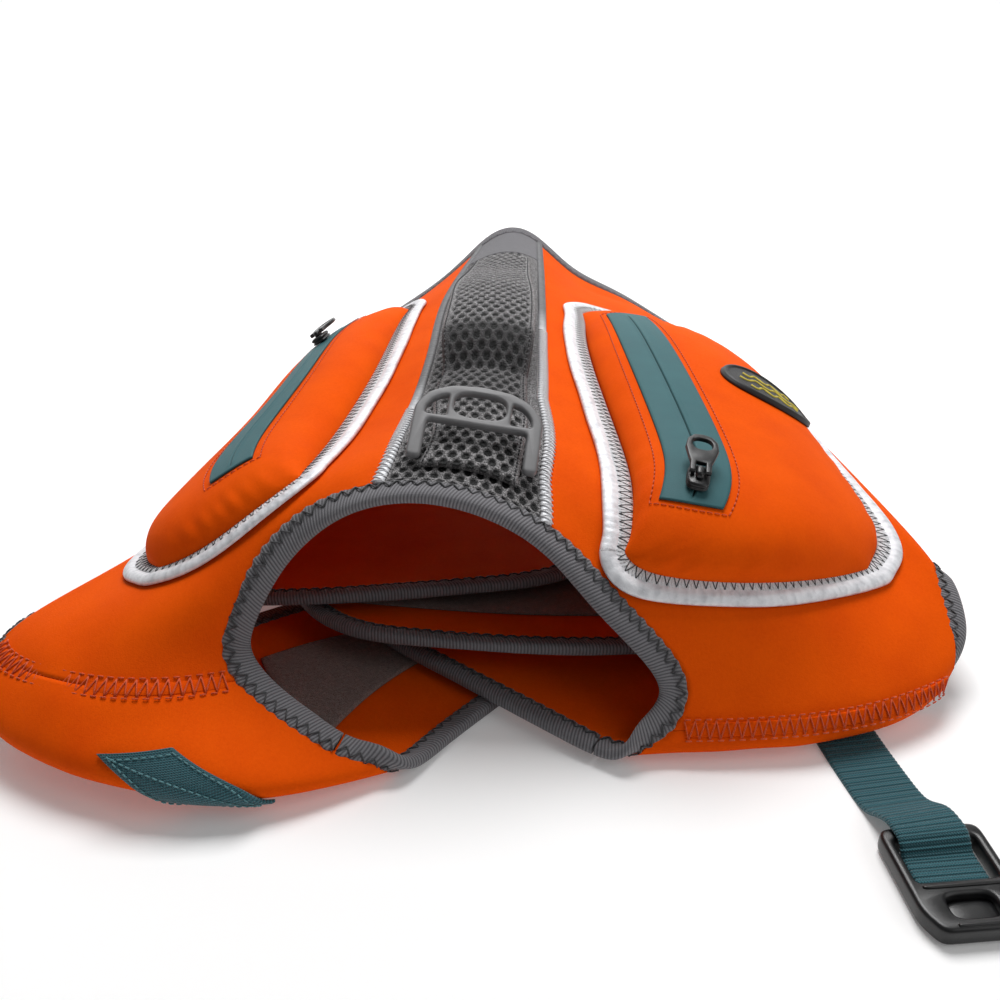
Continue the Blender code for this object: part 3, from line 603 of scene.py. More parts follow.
def ribbon_on(surface: Surface, path: Array, lift: float = 0.0, closed: bool = False) -> Ribbon:
    """The ribbon of a path of parameter pairs on a surface.

    Args:
        surface: maps pairs to points.
        path: the pairs.
        lift: distance off the surface.
        closed: whether it is a loop.
    Returns:
        The ribbon.
    """
    normal = outward(surface, path)
    points = surface(path) + normal * lift
    points[..., 2] = np.maximum(points[..., 2], max(WALL - lift, 0.0))
    return Ribbon(points, normal, closed)


def swept(name: str, ribbon: Ribbon, side: Array, up: Array, floor: float = 0.0) -> bpy.types.Object:
    """A closed tube: a ring of points at each place of a ribbon, given by side and up offsets.

    Args:
        name: the piece's name.
        ribbon: its path.
        side: offsets along the side vectors, a row for each place and a column round the ring.
        up: offsets along the normals, in the same layout.
        floor: lowest height allowed.
    Returns:
        The object, with rings closed by flat ends unless the path is closed.
    """
    rings = (ribbon.points[:, None] + ribbon.across[:, None] * side[..., None]
             + ribbon.normal[:, None] * up[..., None])
    rings[..., 2] = np.maximum(rings[..., 2], floor)
    if ribbon.closed:
        rings, side = rings[:-1], side[:-1]
    rows, columns = rings.shape[:2]
    faces = [grid_quads(rows, columns, 0, ribbon.closed, True)]
    if not ribbon.closed:
        faces.append(np.stack([np.arange(columns)[::-1], np.arange(columns) + (rows - 1) * columns]))
    LOG.info("%s: strip %.0f mm long", name, ribbon.lengths[-1])
    around = np.broadcast_to(side, (rows, columns))
    along = np.broadcast_to(ribbon.lengths[:rows, None], (rows, columns))
    return new_piece(name, rings, faces, np.stack([around, along], -1))


def threads(name: str, paths: Array, up: Array, radius: float, sides: int = 5) -> bpy.types.Object:
    """Many short threads as one mesh of small tubes.

    Args:
        name: the piece's name.
        paths: a path for each thread: threads, steps and coordinates.
        up: a vector that isn't along each path, in the same layout.
        radius: half the thread's width.
        sides: points round it.
    Returns:
        The object; each ring is the path's point plus a circle across its direction.
    """
    along = np.gradient(paths, axis=1)
    along /= np.linalg.norm(along, axis=-1, keepdims=True) + 1e-9
    side = np.cross(along, up)
    side /= np.linalg.norm(side, axis=-1, keepdims=True) + 1e-9
    rise = np.cross(side, along)
    angle = np.arange(sides) * 2 * math.pi / sides
    rings = paths[:, :, None] + radius * (side[:, :, None] * np.cos(angle)[:, None]
                                          + rise[:, :, None] * np.sin(angle)[:, None])
    rings[..., 2] = np.maximum(rings[..., 2], 0.0)
    count, steps = paths.shape[:2]
    one = grid_quads(steps, sides, 0, False, True)
    caps = np.stack([np.arange(sides)[::-1], np.arange(sides) + (steps - 1) * sides])
    starts = (np.arange(count) * steps * sides)[:, None, None]
    return new_piece(name, rings, [(one + starts).reshape(-1, 4), (caps + starts).reshape(-1, sides)])


def zigzag(ribbon: Ribbon, pitch: float, low: float, high: float,
           height: Callable[[Array], Array] | float, steps: int = 4, lean: float = 0.0) -> tuple[Array, Array]:
    """Threads of a zigzag row: each runs from one side to the other over half a pitch.

    Args:
        ribbon: the row's path.
        pitch: length of a full zigzag.
        low, high: the row's two sides, as offsets from the path.
        height: height over the path for a sideways offset, as a function or a number.
        steps: points along each thread.
        lean: share of the pitch by which the way back is longer than the way out.
    Returns:
        The threads' points and their normals.
    """
    count = int(ribbon.lengths[-1] / pitch)
    pitch = ribbon.lengths[-1] / count
    share = np.linspace(0, 1, steps)
    starts = np.arange(count) * pitch
    turn = pitch * (0.5 + lean)
    out = (starts[:, None] + share * turn, low + (high - low) * share)
    back = (starts[:, None] + turn + share * (pitch - turn), high + (low - high) * share)
    places = np.concatenate([out[0], back[0]])
    sideways = np.concatenate([np.broadcast_to(out[1], out[0].shape), np.broadcast_to(back[1], back[0].shape)])
    points, normal, across = ribbon.at(places.ravel())
    rise = height(sideways.ravel()) if callable(height) else np.full(sideways.size, height)
    bulge = 0.22 * np.sin(math.pi * np.tile(share, len(places)))
    points = points + across * sideways.ravel()[:, None] + normal * (rise + bulge)[:, None]
    return points.reshape(places.shape + (3,)), normal.reshape(places.shape + (3,))


def dashes(ribbon: Ribbon, pitch: float, share: float, height: float, steps: int = 3) -> tuple[Array, Array]:
    """Threads of a straight row of stitches, each a shallow arch over its share of the pitch.

    Args:
        ribbon: the row's path.
        pitch: length of a stitch and its gap.
        share: share of the pitch that the thread spans.
        height: the arch's rise.
        steps: points along each thread.
    Returns:
        The threads' points and their normals.
    """
    count = max(2, int(ribbon.lengths[-1] / pitch))
    pitch = ribbon.lengths[-1] / count
    along = np.linspace(0, 1, steps)
    places = (np.arange(count) * pitch)[:, None] + along * pitch * share
    points, normal, _ = ribbon.at(places.ravel())
    arch = height * np.sin(math.pi * np.tile(0.15 + 0.7 * along, count))
    points = points + normal * arch[:, None]
    return points.reshape(places.shape + (3,)), normal.reshape(places.shape + (3,))


def frame_on(surface: Surface, spot: Pair, toward: Pair, lift: float) -> Array:
    """A frame in the layout's millimetres: z outwards, and y towards another spot of the surface.

    Args:
        surface: maps pairs to points.
        spot, toward: pairs.
        lift: distance off the surface.
    Returns:
        A matrix of four rows.
    """
    grid = np.array([spot], dtype=float)
    normal = outward(surface, grid)[0]
    second = surface(np.array([toward], dtype=float))[0] - surface(grid)[0]
    second -= normal * (second @ normal)
    second /= np.linalg.norm(second)
    place = np.eye(4)
    place[:3, 0] = np.cross(second, normal)
    place[:3, 1] = second
    place[:3, 2] = normal
    place[:3, 3] = surface(grid)[0] + normal * lift
    return place


def turned(place: Array, angle: float) -> Array:
    """A frame turned about its own x axis.

    Args:
        place: the frame.
        angle: radians.
    Returns:
        The new frame.
    """
    turn = np.eye(4)
    turn[1:3, 1:3] = ((math.cos(angle), -math.sin(angle)), (math.sin(angle), math.cos(angle)))
    return place @ turn


def oval(slot: Slot, count: int = 40) -> list[Pair]:
    """The outline of a slot: an ellipse for a power of 1, squarer for less.

    Args:
        slot: its middle, half sizes and power.
        count: points in all.
    Returns:
        The points.
    """
    angles = (np.arange(count) + 0.5) * 2 * math.pi / count
    x = slot.x + slot.half_width * squarish(np.cos(angles), slot.power)
    y = slot.y + slot.half_height * squarish(np.sin(angles), slot.power)
    return list(zip(x.tolist(), y.tolist()))


def mirrored(half: tuple[Pair, ...]) -> list[Pair]:
    """A whole outline from its right half, which starts and ends on the middle line."""
    return list(half) + [(-x, y) for x, y in reversed(half[1:-1])]


def rounded_outline(corners: list[Pair], radius: float, steps: int = 5) -> list[Pair]:
    """A closed outline with its corners cut and rounded by quadratic curves.

    Args:
        corners: points in order.
        radius: distance from a corner where its curve starts.
        steps: points a curve.
    Returns:
        The points.
    """
    whole = np.array(corners, dtype=float)
    before, after = np.roll(whole, 1, axis=0), np.roll(whole, -1, axis=0)

    def toward(other: Array) -> Array:
        """Points beside the corners, on the way to other ones.

        Args:
            other: the neighbours.
        Returns:
            A point for each corner.
        """
        line = other - whole
        size = np.linalg.norm(line, axis=1, keepdims=True)
        return whole + line / size * np.minimum(radius, 0.45 * size)

    one, two = toward(before), toward(after)
    share = np.linspace(0, 1, steps)[:, None]
    curve = [one[i] * (1 - share)**2 + 2 * whole[i] * share * (1 - share) + two[i] * share**2
             for i in range(len(whole))]
    return [tuple(point) for point in np.concatenate(curve)]


def filled_mesh(name: str, loops: list[list[Pair]], thickness: float, edge: float) -> bpy.types.Mesh:
    """The mesh of a flat filled curve with holes, given a thickness and rounded edges.

    Args:
        name: the mesh's name.
        loops: the outer loop, then the inner ones.
        thickness: distance between its two faces.
        edge: radius of its rounded edges.
    Returns:
        The mesh.
    """
    curve = bpy.data.curves.new(name + "_curve", "CURVE")
    curve.dimensions = "2D"
    curve.fill_mode = "BOTH"
    curve.extrude = thickness / 2 - edge
    curve.bevel_depth = edge
    curve.bevel_resolution = 3
    curve.offset = -edge
    for loop in loops:
        spline = curve.splines.new("POLY")
        spline.points.add(len(loop) - 1)
        spline.points.foreach_set("co", [value for x, y in loop for value in (x, y, 0.0, 1.0)])
        spline.use_cyclic_u = True
    holder = linked(name + "_curve", curve)
    bpy.context.view_layer.update()
    mesh = bpy.data.meshes.new_from_object(holder.evaluated_get(bpy.context.evaluated_depsgraph_get()))
    bpy.data.objects.remove(holder, do_unlink=True)
    bpy.data.curves.remove(curve)
    mesh.name = name
    return mesh


def moulded_plate(name: str, outline: list[Pair], holes: list[list[Pair]], bottom: float, top: float,
                  edge: float, place: Array) -> bpy.types.Object:
    """A moulded plate with holes and rounded edges.

    Args:
        name: the piece's name.
        outline: the outer loop of points.
        holes: inner loops.
        bottom, top: heights of its two faces in its own frame.
        edge: radius of its rounded edges.
        place: its frame in the layout.
    Returns:
        The object, with its doubles merged and its normals outward.
    """
    mesh = filled_mesh(name, [outline] + holes, top - bottom, edge)
    edit = bmesh.new()
    edit.from_mesh(mesh)
    bmesh.ops.remove_doubles(edit, verts=edit.verts, dist=0.002)
    bmesh.ops.recalc_face_normals(edit, faces=edit.faces)
    edit.to_mesh(mesh)
    edit.free()
    points = np.empty(len(mesh.vertices) * 3)
    mesh.vertices.foreach_get("co", points)
    points = points.reshape(-1, 3) + np.array([0.0, 0.0, (top + bottom) / 2])
    points = points @ place[:3, :3].T + place[:3, 3]
    mesh.vertices.foreach_set("co", ((points - ORIGIN) * MM).astype(np.float32).ravel())
    mesh.update()
    mesh.materials.clear()
    mesh.polygons.foreach_set("use_smooth", [True] * len(mesh.polygons))
    mesh.set_sharp_from_angle(angle=math.radians(38))
    return linked(name, mesh)


def joined(name: str, items: list[bpy.types.Object]) -> bpy.types.Object:
    """One object from several that share a material slot.

    Args:
        name: the piece's name.
        items: the objects, which are removed.
    Returns:
        The object.
    """
    edit = bmesh.new()
    for item in items:
        edit.from_mesh(item.data)
    mesh = bpy.data.meshes.new(name)
    edit.to_mesh(mesh)
    edit.free()
    for item in items:
        bpy.data.objects.remove(item, do_unlink=True)
    return linked(name, mesh)


# Materials


class Value:
    """A node's number output; sums and products of values add their Math nodes."""

    def __init__(self, graph: Graph, socket: bpy.types.NodeSocket) -> None:
        """Wraps a socket of a graph."""
        self.graph = graph
        self.socket = socket

    def _math(self, operation: str, *values: Value | float) -> Value:
        """A Math node's result."""
        return self.graph.node("ShaderNodeMath", {"operation": operation}, dict(enumerate(values)))

    def __add__(self, other: Value | float) -> Value:
        """Sum."""
        return self._math("ADD", self, other)

    __radd__ = __add__

    def __mul__(self, other: Value | float) -> Value:
        """Product."""
        return self._math("MULTIPLY", self, other)

    __rmul__ = __mul__

    def __sub__(self, other: Value | float) -> Value:
        """Difference."""
        return self._math("SUBTRACT", self, other)

    def __rsub__(self, other: Value | float) -> Value:
        """Difference from the left."""
        return self._math("SUBTRACT", other, self)

    def __truediv__(self, other: Value | float) -> Value:
        """Quotient."""
        return self._math("DIVIDE", self, other)

    def __pow__(self, other: Value | float) -> Value:
        """Power."""
        return self._math("POWER", self, other)

    def sine(self) -> Value:
        """Sine of an angle in radians."""
        return self._math("SINE", self)

    def size(self) -> Value:
        """Absolute value."""
        return self._math("ABSOLUTE", self)

    def ramp(self, low: float, high: float) -> Value:
        """0 under low and 1 over high, straight between."""
        inputs = {"Value": self, "From Min": low, "From Max": high}
        return self.graph.node("ShaderNodeMapRange", {"clamp": True}, inputs)


class Graph:
    """A material's nodes."""

    def __init__(self, name: str) -> None:
        """A new material with its Principled BSDF."""
        self.material = bpy.data.materials.new(name)
        self.material.use_nodes = True
        self.tree = self.material.node_tree
        self.shader = self.tree.nodes["Principled BSDF"]

    def feed(self, socket: bpy.types.NodeSocket, value: Value | Colour | float) -> None:
        """Sets a socket to a number or colour, or links it.

        Args:
            socket: the input.
            value: what it gets.
        """
        if isinstance(value, Value):
            self.tree.links.new(value.socket, socket)
        elif isinstance(value, (tuple, list)) and len(value) == 3 and socket.type == "RGBA":
            socket.default_value = (*value, 1.0)
        else:
            socket.default_value = value

    def node(self, kind: str, settings: dict | None = None, inputs: dict | None = None,
             output: str | int = 0) -> Value:
        """A node's output.

        Args:
            kind: the node's type.
            settings: its properties, set first.
            inputs: values or links of its sockets, by name or number.
            output: name or number of the output.
        Returns:
            The wrapped output.
        """
        node = self.tree.nodes.new(kind)
        for key, value in (settings or {}).items():
            setattr(node, key, value)
        for key, value in (inputs or {}).items():
            self.feed(node.inputs[key], value)
        return Value(self, node.outputs[output])

    def place(self, stretch: tuple[float, float, float] = (1.0, 1.0, 1.0)) -> Value:
        """Object coordinates in millimetres, stretched.

        Args:
            stretch: scale for each axis.
        Returns:
            The link.
        """
        where = self.node("ShaderNodeTexCoord", output="Object")
        scale = tuple(1000.0 * value for value in stretch)
        return self.node("ShaderNodeMapping", {}, {"Vector": where, "Scale": scale})

    def cut(self) -> tuple[Value, Value]:
        """The piece's own cut map: millimetres across and along."""
        where = self.node("ShaderNodeUVMap", {"uv_map": "cut"})
        split = self.node("ShaderNodeSeparateXYZ", {}, {0: where}).socket.node
        return Value(self, split.outputs[0]), Value(self, split.outputs[1])

    def noise(self, where: Value, size: float, detail: float = 2.0, roughness: float = 0.5) -> Value:
        """Noise from 0 to 1 whose blotches are about size millimetres across."""
        inputs = {"Vector": where, "Scale": 1.0 / size, "Detail": detail, "Roughness": roughness}
        return self.node("ShaderNodeTexNoise", {"noise_dimensions": "3D"}, inputs)

    def mix(self, factor: Value | float, one: Value | Colour, two: Value | Colour) -> Value:
        """A colour between two."""
        settings = {"data_type": "RGBA", "blend_type": "MIX", "clamp_factor": True}
        return self.node("ShaderNodeMix", settings, {0: factor, 6: one, 7: two}, 2)

    def mark(self, name: str) -> Value:
        """A named value of the mesh."""
        return self.node("ShaderNodeAttribute", {"attribute_name": name}, output="Fac")

    def finish(self, colour: Value, roughness: Value | float, height: Value | None = None, depth: float = 0.2,
               **constants: float | Colour) -> None:
        """Feeds the shader.

        Args:
            colour: base colour or its link.
            roughness: roughness or its link.
            height: height from 0 to 1 for the bump.
            depth: bump depth in millimetres.
            constants: values for sockets of the shader, their spaces written as underlines.
        """
        self.feed(self.shader.inputs["Base Color"], colour)
        self.feed(self.shader.inputs["Roughness"], roughness)
        if height is not None:
            bump = self.node("ShaderNodeBump", {}, {"Strength": 1.0, "Distance": depth * MM, "Height": height},
                             "Normal")
            self.feed(self.shader.inputs["Normal"], bump)
        for name, value in constants.items():
            self.feed(self.shader.inputs[name.replace("_", " ")], value)


@dataclass(frozen=True)
class Knit:
    """Matte knit face of neoprene: fine loops, soft patches of tone and a slight sheen."""

    name: str
    lit: Colour = (0.84, 0.098, 0.001)
    deep: Colour = (0.71, 0.068, 0.001)

    def make(self) -> bpy.types.Material:
        """Builds the material: two noises for loops over one for tone.

        Returns:
            The material.
        """
        graph = Graph(self.name)
        where = graph.place()
        loops = graph.noise(where, 0.55, 2.0, 0.6)
        weave = graph.noise(where, 1.3, 3.0, 0.55)
        tone = graph.noise(where, 26.0, 3.0, 0.5)
        share = (tone.ramp(0.35, 0.72) * 0.55 + weave.ramp(0.3, 0.75) * 0.3 + loops.ramp(0.3, 0.8) * 0.2)
        colour = graph.mix(share, self.lit, self.deep)
        graph.finish(colour, 0.72 + weave * 0.16, loops * 0.7 + weave * 0.5, 0.16,
                     Sheen_Weight=0.02, Sheen_Roughness=0.5, Sheen_Tint=(1.0, 0.4, 0.1),
                     Specular_IOR_Level=0.04)
        return graph.material


@dataclass(frozen=True)
class RibbedTape:
    """Grey ribbed elastic: crosswise cords with dark grooves and fine filaments."""

    name: str
    cord: Colour = (0.205, 0.200, 0.214)
    groove: Colour = (0.042, 0.040, 0.045)
    pitch: float = 1.35
    slant: float = 0.35

    def make(self) -> bpy.types.Material:
        """Builds the material: a sine along the tape, leaning with the way across.

        Returns:
            The material.
        """
        graph = Graph(self.name)
        across, along = graph.cut()
        where = graph.place()
        fibre = graph.noise(where, 0.5, 2.0, 0.6)
        wander = graph.noise(where, 9.0, 2.0, 0.5)
        phase = (along + across * self.slant + wander * 0.5) * (2 * math.pi / self.pitch)
        cord = phase.sine() * 0.5 + 0.5
        fine = (across * (2 * math.pi / 0.8)).sine() * 0.5 + 0.5
        share = cord.ramp(0.0, 0.85) * 0.72 + fibre * 0.3 + wander * 0.12
        graph.finish(graph.mix(share, self.groove, self.cord), 0.8 + fibre * 0.12,
                     cord * 0.8 + fine * 0.15 + fibre * 0.35, 0.22, Sheen_Weight=0.15, Sheen_Roughness=0.5)
        return graph.material


@dataclass(frozen=True)
class SpacerMesh:
    """Grey spacer mesh: glossy filaments round holes filled with painted shade, which the mesh's hole mark
    gives; its shaded mark paints shade on the yarn.
    """

    name: str
    yarn: Colour = (0.46, 0.445, 0.45)
    shade: Colour = (0.022, 0.020, 0.022)
    # painted shade: the near-black colour painted into the holes
    painted_hole_shade: Colour = (0.003, 0.003, 0.0035)

    def make(self) -> bpy.types.Material:
        """Builds the material: looped yarn by stretched noises, painted shade in the holes where the hole mark
        is 1, and yarn darkened as painted shade where the shaded mark is.

        Returns:
            The material.
        """
        graph = Graph(self.name)
        where = graph.place()
        fibre = graph.noise(where, 0.6, 3.0, 0.65)
        loops = graph.noise(graph.place((1.0, 0.45, 1.0)), 1.3, 2.0, 0.5)
        hole = graph.mark("hole")
        # the shaded mark is painted shade: it darkens the yarn towards its shade colour
        shaded = graph.mark("shaded")
        strand = (loops * 26.0).sine() * 0.5 + 0.5
        share = (fibre.ramp(0.36, 0.62) * 0.55 + strand.ramp(0.25, 1.0) * 0.45) * (1.0 - shaded * 0.88)
        body = graph.mix(share, self.shade, self.yarn)
        # painted shade in the holes: the hole mark mixes in the near-black colour
        graph.finish(graph.mix(hole.ramp(0.0, 0.75), body, self.painted_hole_shade), 0.42 + fibre * 0.3,
                     fibre * 0.7 + strand * 0.6, 0.6, Sheen_Weight=0.06, Specular_IOR_Level=0.45)
        return graph.material


@dataclass(frozen=True)
class Reflective:
    """Silver reflective tape: a bright fine-grained face with soft handling creases, and past a fade a painted
    grey shade where the tape is seen at a grazing angle.
    """

    name: str
    bright: Colour = (0.84, 0.85, 0.88)
    dull: Colour = (0.46, 0.47, 0.50)
    painted_shade_grey: Colour = (0.13, 0.13, 0.135)
    # lengths along the tape over which it fades into painted grey shade
    fade: Pair | None = None

    def make(self) -> bpy.types.Material:
        """Builds the material: creases from stretched noise, grain from fine noise, painted grey shade past
        the fade.

        Returns:
            The material.
        """
        graph = Graph(self.name)
        where = graph.place()
        _, along = graph.cut()
        crease = graph.noise(where, 4.6, 3.0, 0.55)
        grain = graph.noise(where, 0.4, 1.0, 0.5)
        pull = (along * (2 * math.pi / 3.4) + crease * 5.0).sine() * 0.5 + 0.5
        share = crease.ramp(0.22, 0.55) * 0.7 + pull * 0.15 + grain * 0.25
        colour = graph.mix(share, self.dull, self.bright)
        # painted shade: past the fade the tape turns grey, as it looks at a grazing angle
        if self.fade is not None:
            colour = graph.mix(along.ramp(*self.fade), colour, self.painted_shade_grey)
        graph.finish(colour, 0.42 + crease * 0.25,
                     crease * 0.9 + pull * 0.15 + grain * 0.12, 0.55, Metallic=0.2, Specular_IOR_Level=0.5)
        return graph.material


@dataclass(frozen=True)
class Webbing:
    """Woven webbing: coarse crosswise ribs, each of small picks of yarn."""

    name: str
    yarn: Colour = (0.020, 0.130, 0.160)
    shade: Colour = (0.006, 0.042, 0.055)
    rib: float = 1.25
    pick: float = 1.0

    def make(self) -> bpy.types.Material:
        """Builds the material: a sine of the way along, shifted row by row by one across.

        Returns:
            The material.
        """
        graph = Graph(self.name)
        across, along = graph.cut()
        where = graph.place()
        fibre = graph.noise(where, 0.45, 2.0, 0.6)
        picks = (across * (2 * math.pi / self.pick)).sine()
        ribs = (along * (2 * math.pi / self.rib) + picks * 0.9).sine() * 0.5 + 0.5
        share = ribs.ramp(0.05, 0.75) * 0.75 + fibre * 0.3
        graph.finish(graph.mix(share, self.shade, self.yarn), 0.6 + fibre * 0.2,
                     ribs * 0.9 + picks * 0.15 + fibre * 0.3, 0.35, Sheen_Weight=0.2, Sheen_Roughness=0.4)
        return graph.material


@dataclass(frozen=True)
class CoatedTape:
    """Smooth coated zip tape: nearly plain, with a faint cast and scuffs, and painted shade in its slit."""

    name: str
    face: Colour = (0.036, 0.112, 0.125)
    worn: Colour = (0.052, 0.140, 0.153)
    # painted shade: the dark colour painted into the slit
    slit: Colour = (0.012, 0.02, 0.022)

    def make(self) -> bpy.types.Material:
        """Builds the material: scuffs by noise, painted shade in the slit by the mesh's mark.

        Returns:
            The material.
        """
        graph = Graph(self.name)
        where = graph.place()
        cast = graph.noise(where, 18.0, 3.0, 0.55)
        grain = graph.noise(where, 0.5, 1.0, 0.5)
        body = graph.mix(cast.ramp(0.4, 0.7) * 0.6 + grain * 0.25, self.face, self.worn)
        graph.finish(graph.mix(graph.mark("hole"), body, self.slit), 0.5 + cast * 0.2,
                     grain * 0.5 + cast * 0.6, 0.12, Specular_IOR_Level=0.15)
        return graph.material


@dataclass(frozen=True)
class Moulded:
    """Moulded plastic: a fine spark-eroded grain with faint rubbed patches."""

    name: str
    body: Colour
    rubbed: Colour
    roughness: float

    def make(self) -> bpy.types.Material:
        """Builds the material: grain bump, and roughness that follows the rubbing.

        Returns:
            The material.
        """
        graph = Graph(self.name)
        where = graph.place()
        grain = graph.noise(where, 0.35, 2.0, 0.6)
        rub = graph.noise(where, 7.0, 3.0, 0.55)
        graph.finish(graph.mix(rub.ramp(0.45, 0.75) * 0.7 + grain * 0.15, self.body, self.rubbed),
                     self.roughness + rub * 0.14, grain * 0.7 + rub * 0.3, 0.06)
        return graph.material


@dataclass(frozen=True)
class Pile:
    """Brushed loop pile: a dusty tangle of fibres."""

    name: str
    tip: Colour = (0.30, 0.225, 0.205)
    root: Colour = (0.10, 0.062, 0.055)

    def make(self) -> bpy.types.Material:
        """Builds the material: three sizes of noise.

        Returns:
            The material.
        """
        graph = Graph(self.name)
        where = graph.place()
        tangle = graph.noise(where, 0.5, 3.0, 0.7)
        tuft = graph.noise(where, 1.6, 2.0, 0.6)
        share = tangle.ramp(0.3, 0.72) * 0.7 + tuft.ramp(0.35, 0.7) * 0.3
        graph.finish(graph.mix(share, self.root, self.tip), 0.95, tangle + tuft * 0.8, 0.6,
                     Sheen_Weight=0.4, Sheen_Roughness=0.6, Sheen_Tint=(0.9, 0.8, 0.75))
        return graph.material


@dataclass(frozen=True)
class Thread:
    """Sewing thread: a twisted yarn with slight unevenness."""

    name: str
    yarn: Colour
    roughness: float = 0.6

    def make(self) -> bpy.types.Material:
        """Builds the material: the yarn's colour varied by noise.

        Returns:
            The material.
        """
        graph = Graph(self.name)
        where = graph.place()
        twist = graph.noise(where, 0.5, 2.0, 0.6)
        dark = tuple(0.6 * value for value in self.yarn)
        graph.finish(graph.mix(twist.ramp(0.25, 0.7), dark, self.yarn), self.roughness + twist * 0.15,
                     twist, 0.1, Sheen_Weight=0.15)
        return graph.material


def make_finishes() -> dict[str, bpy.types.Material]:
    """The materials of the jacket, by name.

    Returns:
        The materials.
    """
    finishes = (
        Knit("knit_orange"),
        RibbedTape("tape_ribbed"),
        SpacerMesh("mesh_spacer"),
        Reflective("tape_silver"),
        # the pipings fade into painted grey shade towards the tail
        Reflective("piping_right", fade=(150.0, 215.0)),
        Reflective("piping_left", fade=(40.0, 100.0)),
        Webbing("webbing_teal"),
        CoatedTape("tape_coated"),
        Moulded("plastic_black", (0.004, 0.004, 0.0045), (0.009, 0.009, 0.010), 0.26),
        Moulded("plastic_grey", (0.15, 0.148, 0.152), (0.20, 0.198, 0.202), 0.42),
        Moulded("rubber_black", (0.007, 0.007, 0.008), (0.013, 0.013, 0.014), 0.45),
        Moulded("rubber_yellow", (0.62, 0.50, 0.05), (0.55, 0.42, 0.04), 0.5),
        Pile("pile_loop"),
        Thread("thread_grey", (0.05, 0.05, 0.054)),
        Thread("thread_white", (0.86, 0.86, 0.88)),
        Thread("thread_orange", (0.74, 0.080, 0.003)),
        Thread("thread_teal", (0.10, 0.27, 0.30)),
    )
    return {finish.name: finish.make() for finish in finishes}


# Sub-assemblies


@dataclass
class Assembly:
    """What every sub-assembly has: its finishes, and how it dresses a piece."""

    finish: dict[str, bpy.types.Material]

    def dress(self, item: bpy.types.Object, finish: str, slot: str, *nodes: str,
              body: Body = Body.JACKET) -> bpy.types.Object:
        """Gives a piece its material and its body, names it after the first node that it stands for, and hides
        those nodes.

        Args:
            item: the piece.
            finish: its material.
            slot: not used.
            nodes: nodes of the frame that it stands for.
            body: what it rides on.
        Returns:
            The piece.
        """
        item.data.materials.append(self.finish[finish])
        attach(item, body.value)
        if nodes:
            item.name = nodes[0] + "_finished"
            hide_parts(*nodes)
        LOG.info("%s: %d faces", item.name, len(item.data.polygons))
        return item

    def cloth(self, name: str, low: Array, high: Array, finish: str, slot: str, held: str = "draped",
              marks: dict[str, Array] | None = None, rests_on: tuple[str, ...] = ()) -> None:
        """Makes and dresses a piece of cloth, and logs its cut measured over its own middle surface.

        Args:
            name: the node that it stands for.
            low, high: grids of points of its two faces.
            finish: its material.
            slot: its colour slot.
            held: not used.
            marks: named values for each point of the upper face.
            rests_on: not used.
        """
        item = self.dress(closed_sheet(name, low, high, marks=marks), finish, slot, name)
        points = (low + high) / 2
        across = np.linalg.norm(np.diff(points, axis=1), axis=-1).sum(axis=1).max()
        along = np.linalg.norm(np.diff(points, axis=0), axis=-1).sum(axis=0).max()
        area = min(cloth_area(points), across * along)
        LOG.info("%s: cut %.0f x %.0f mm, %.4f m2", item.name, across, along, area * MM * MM)


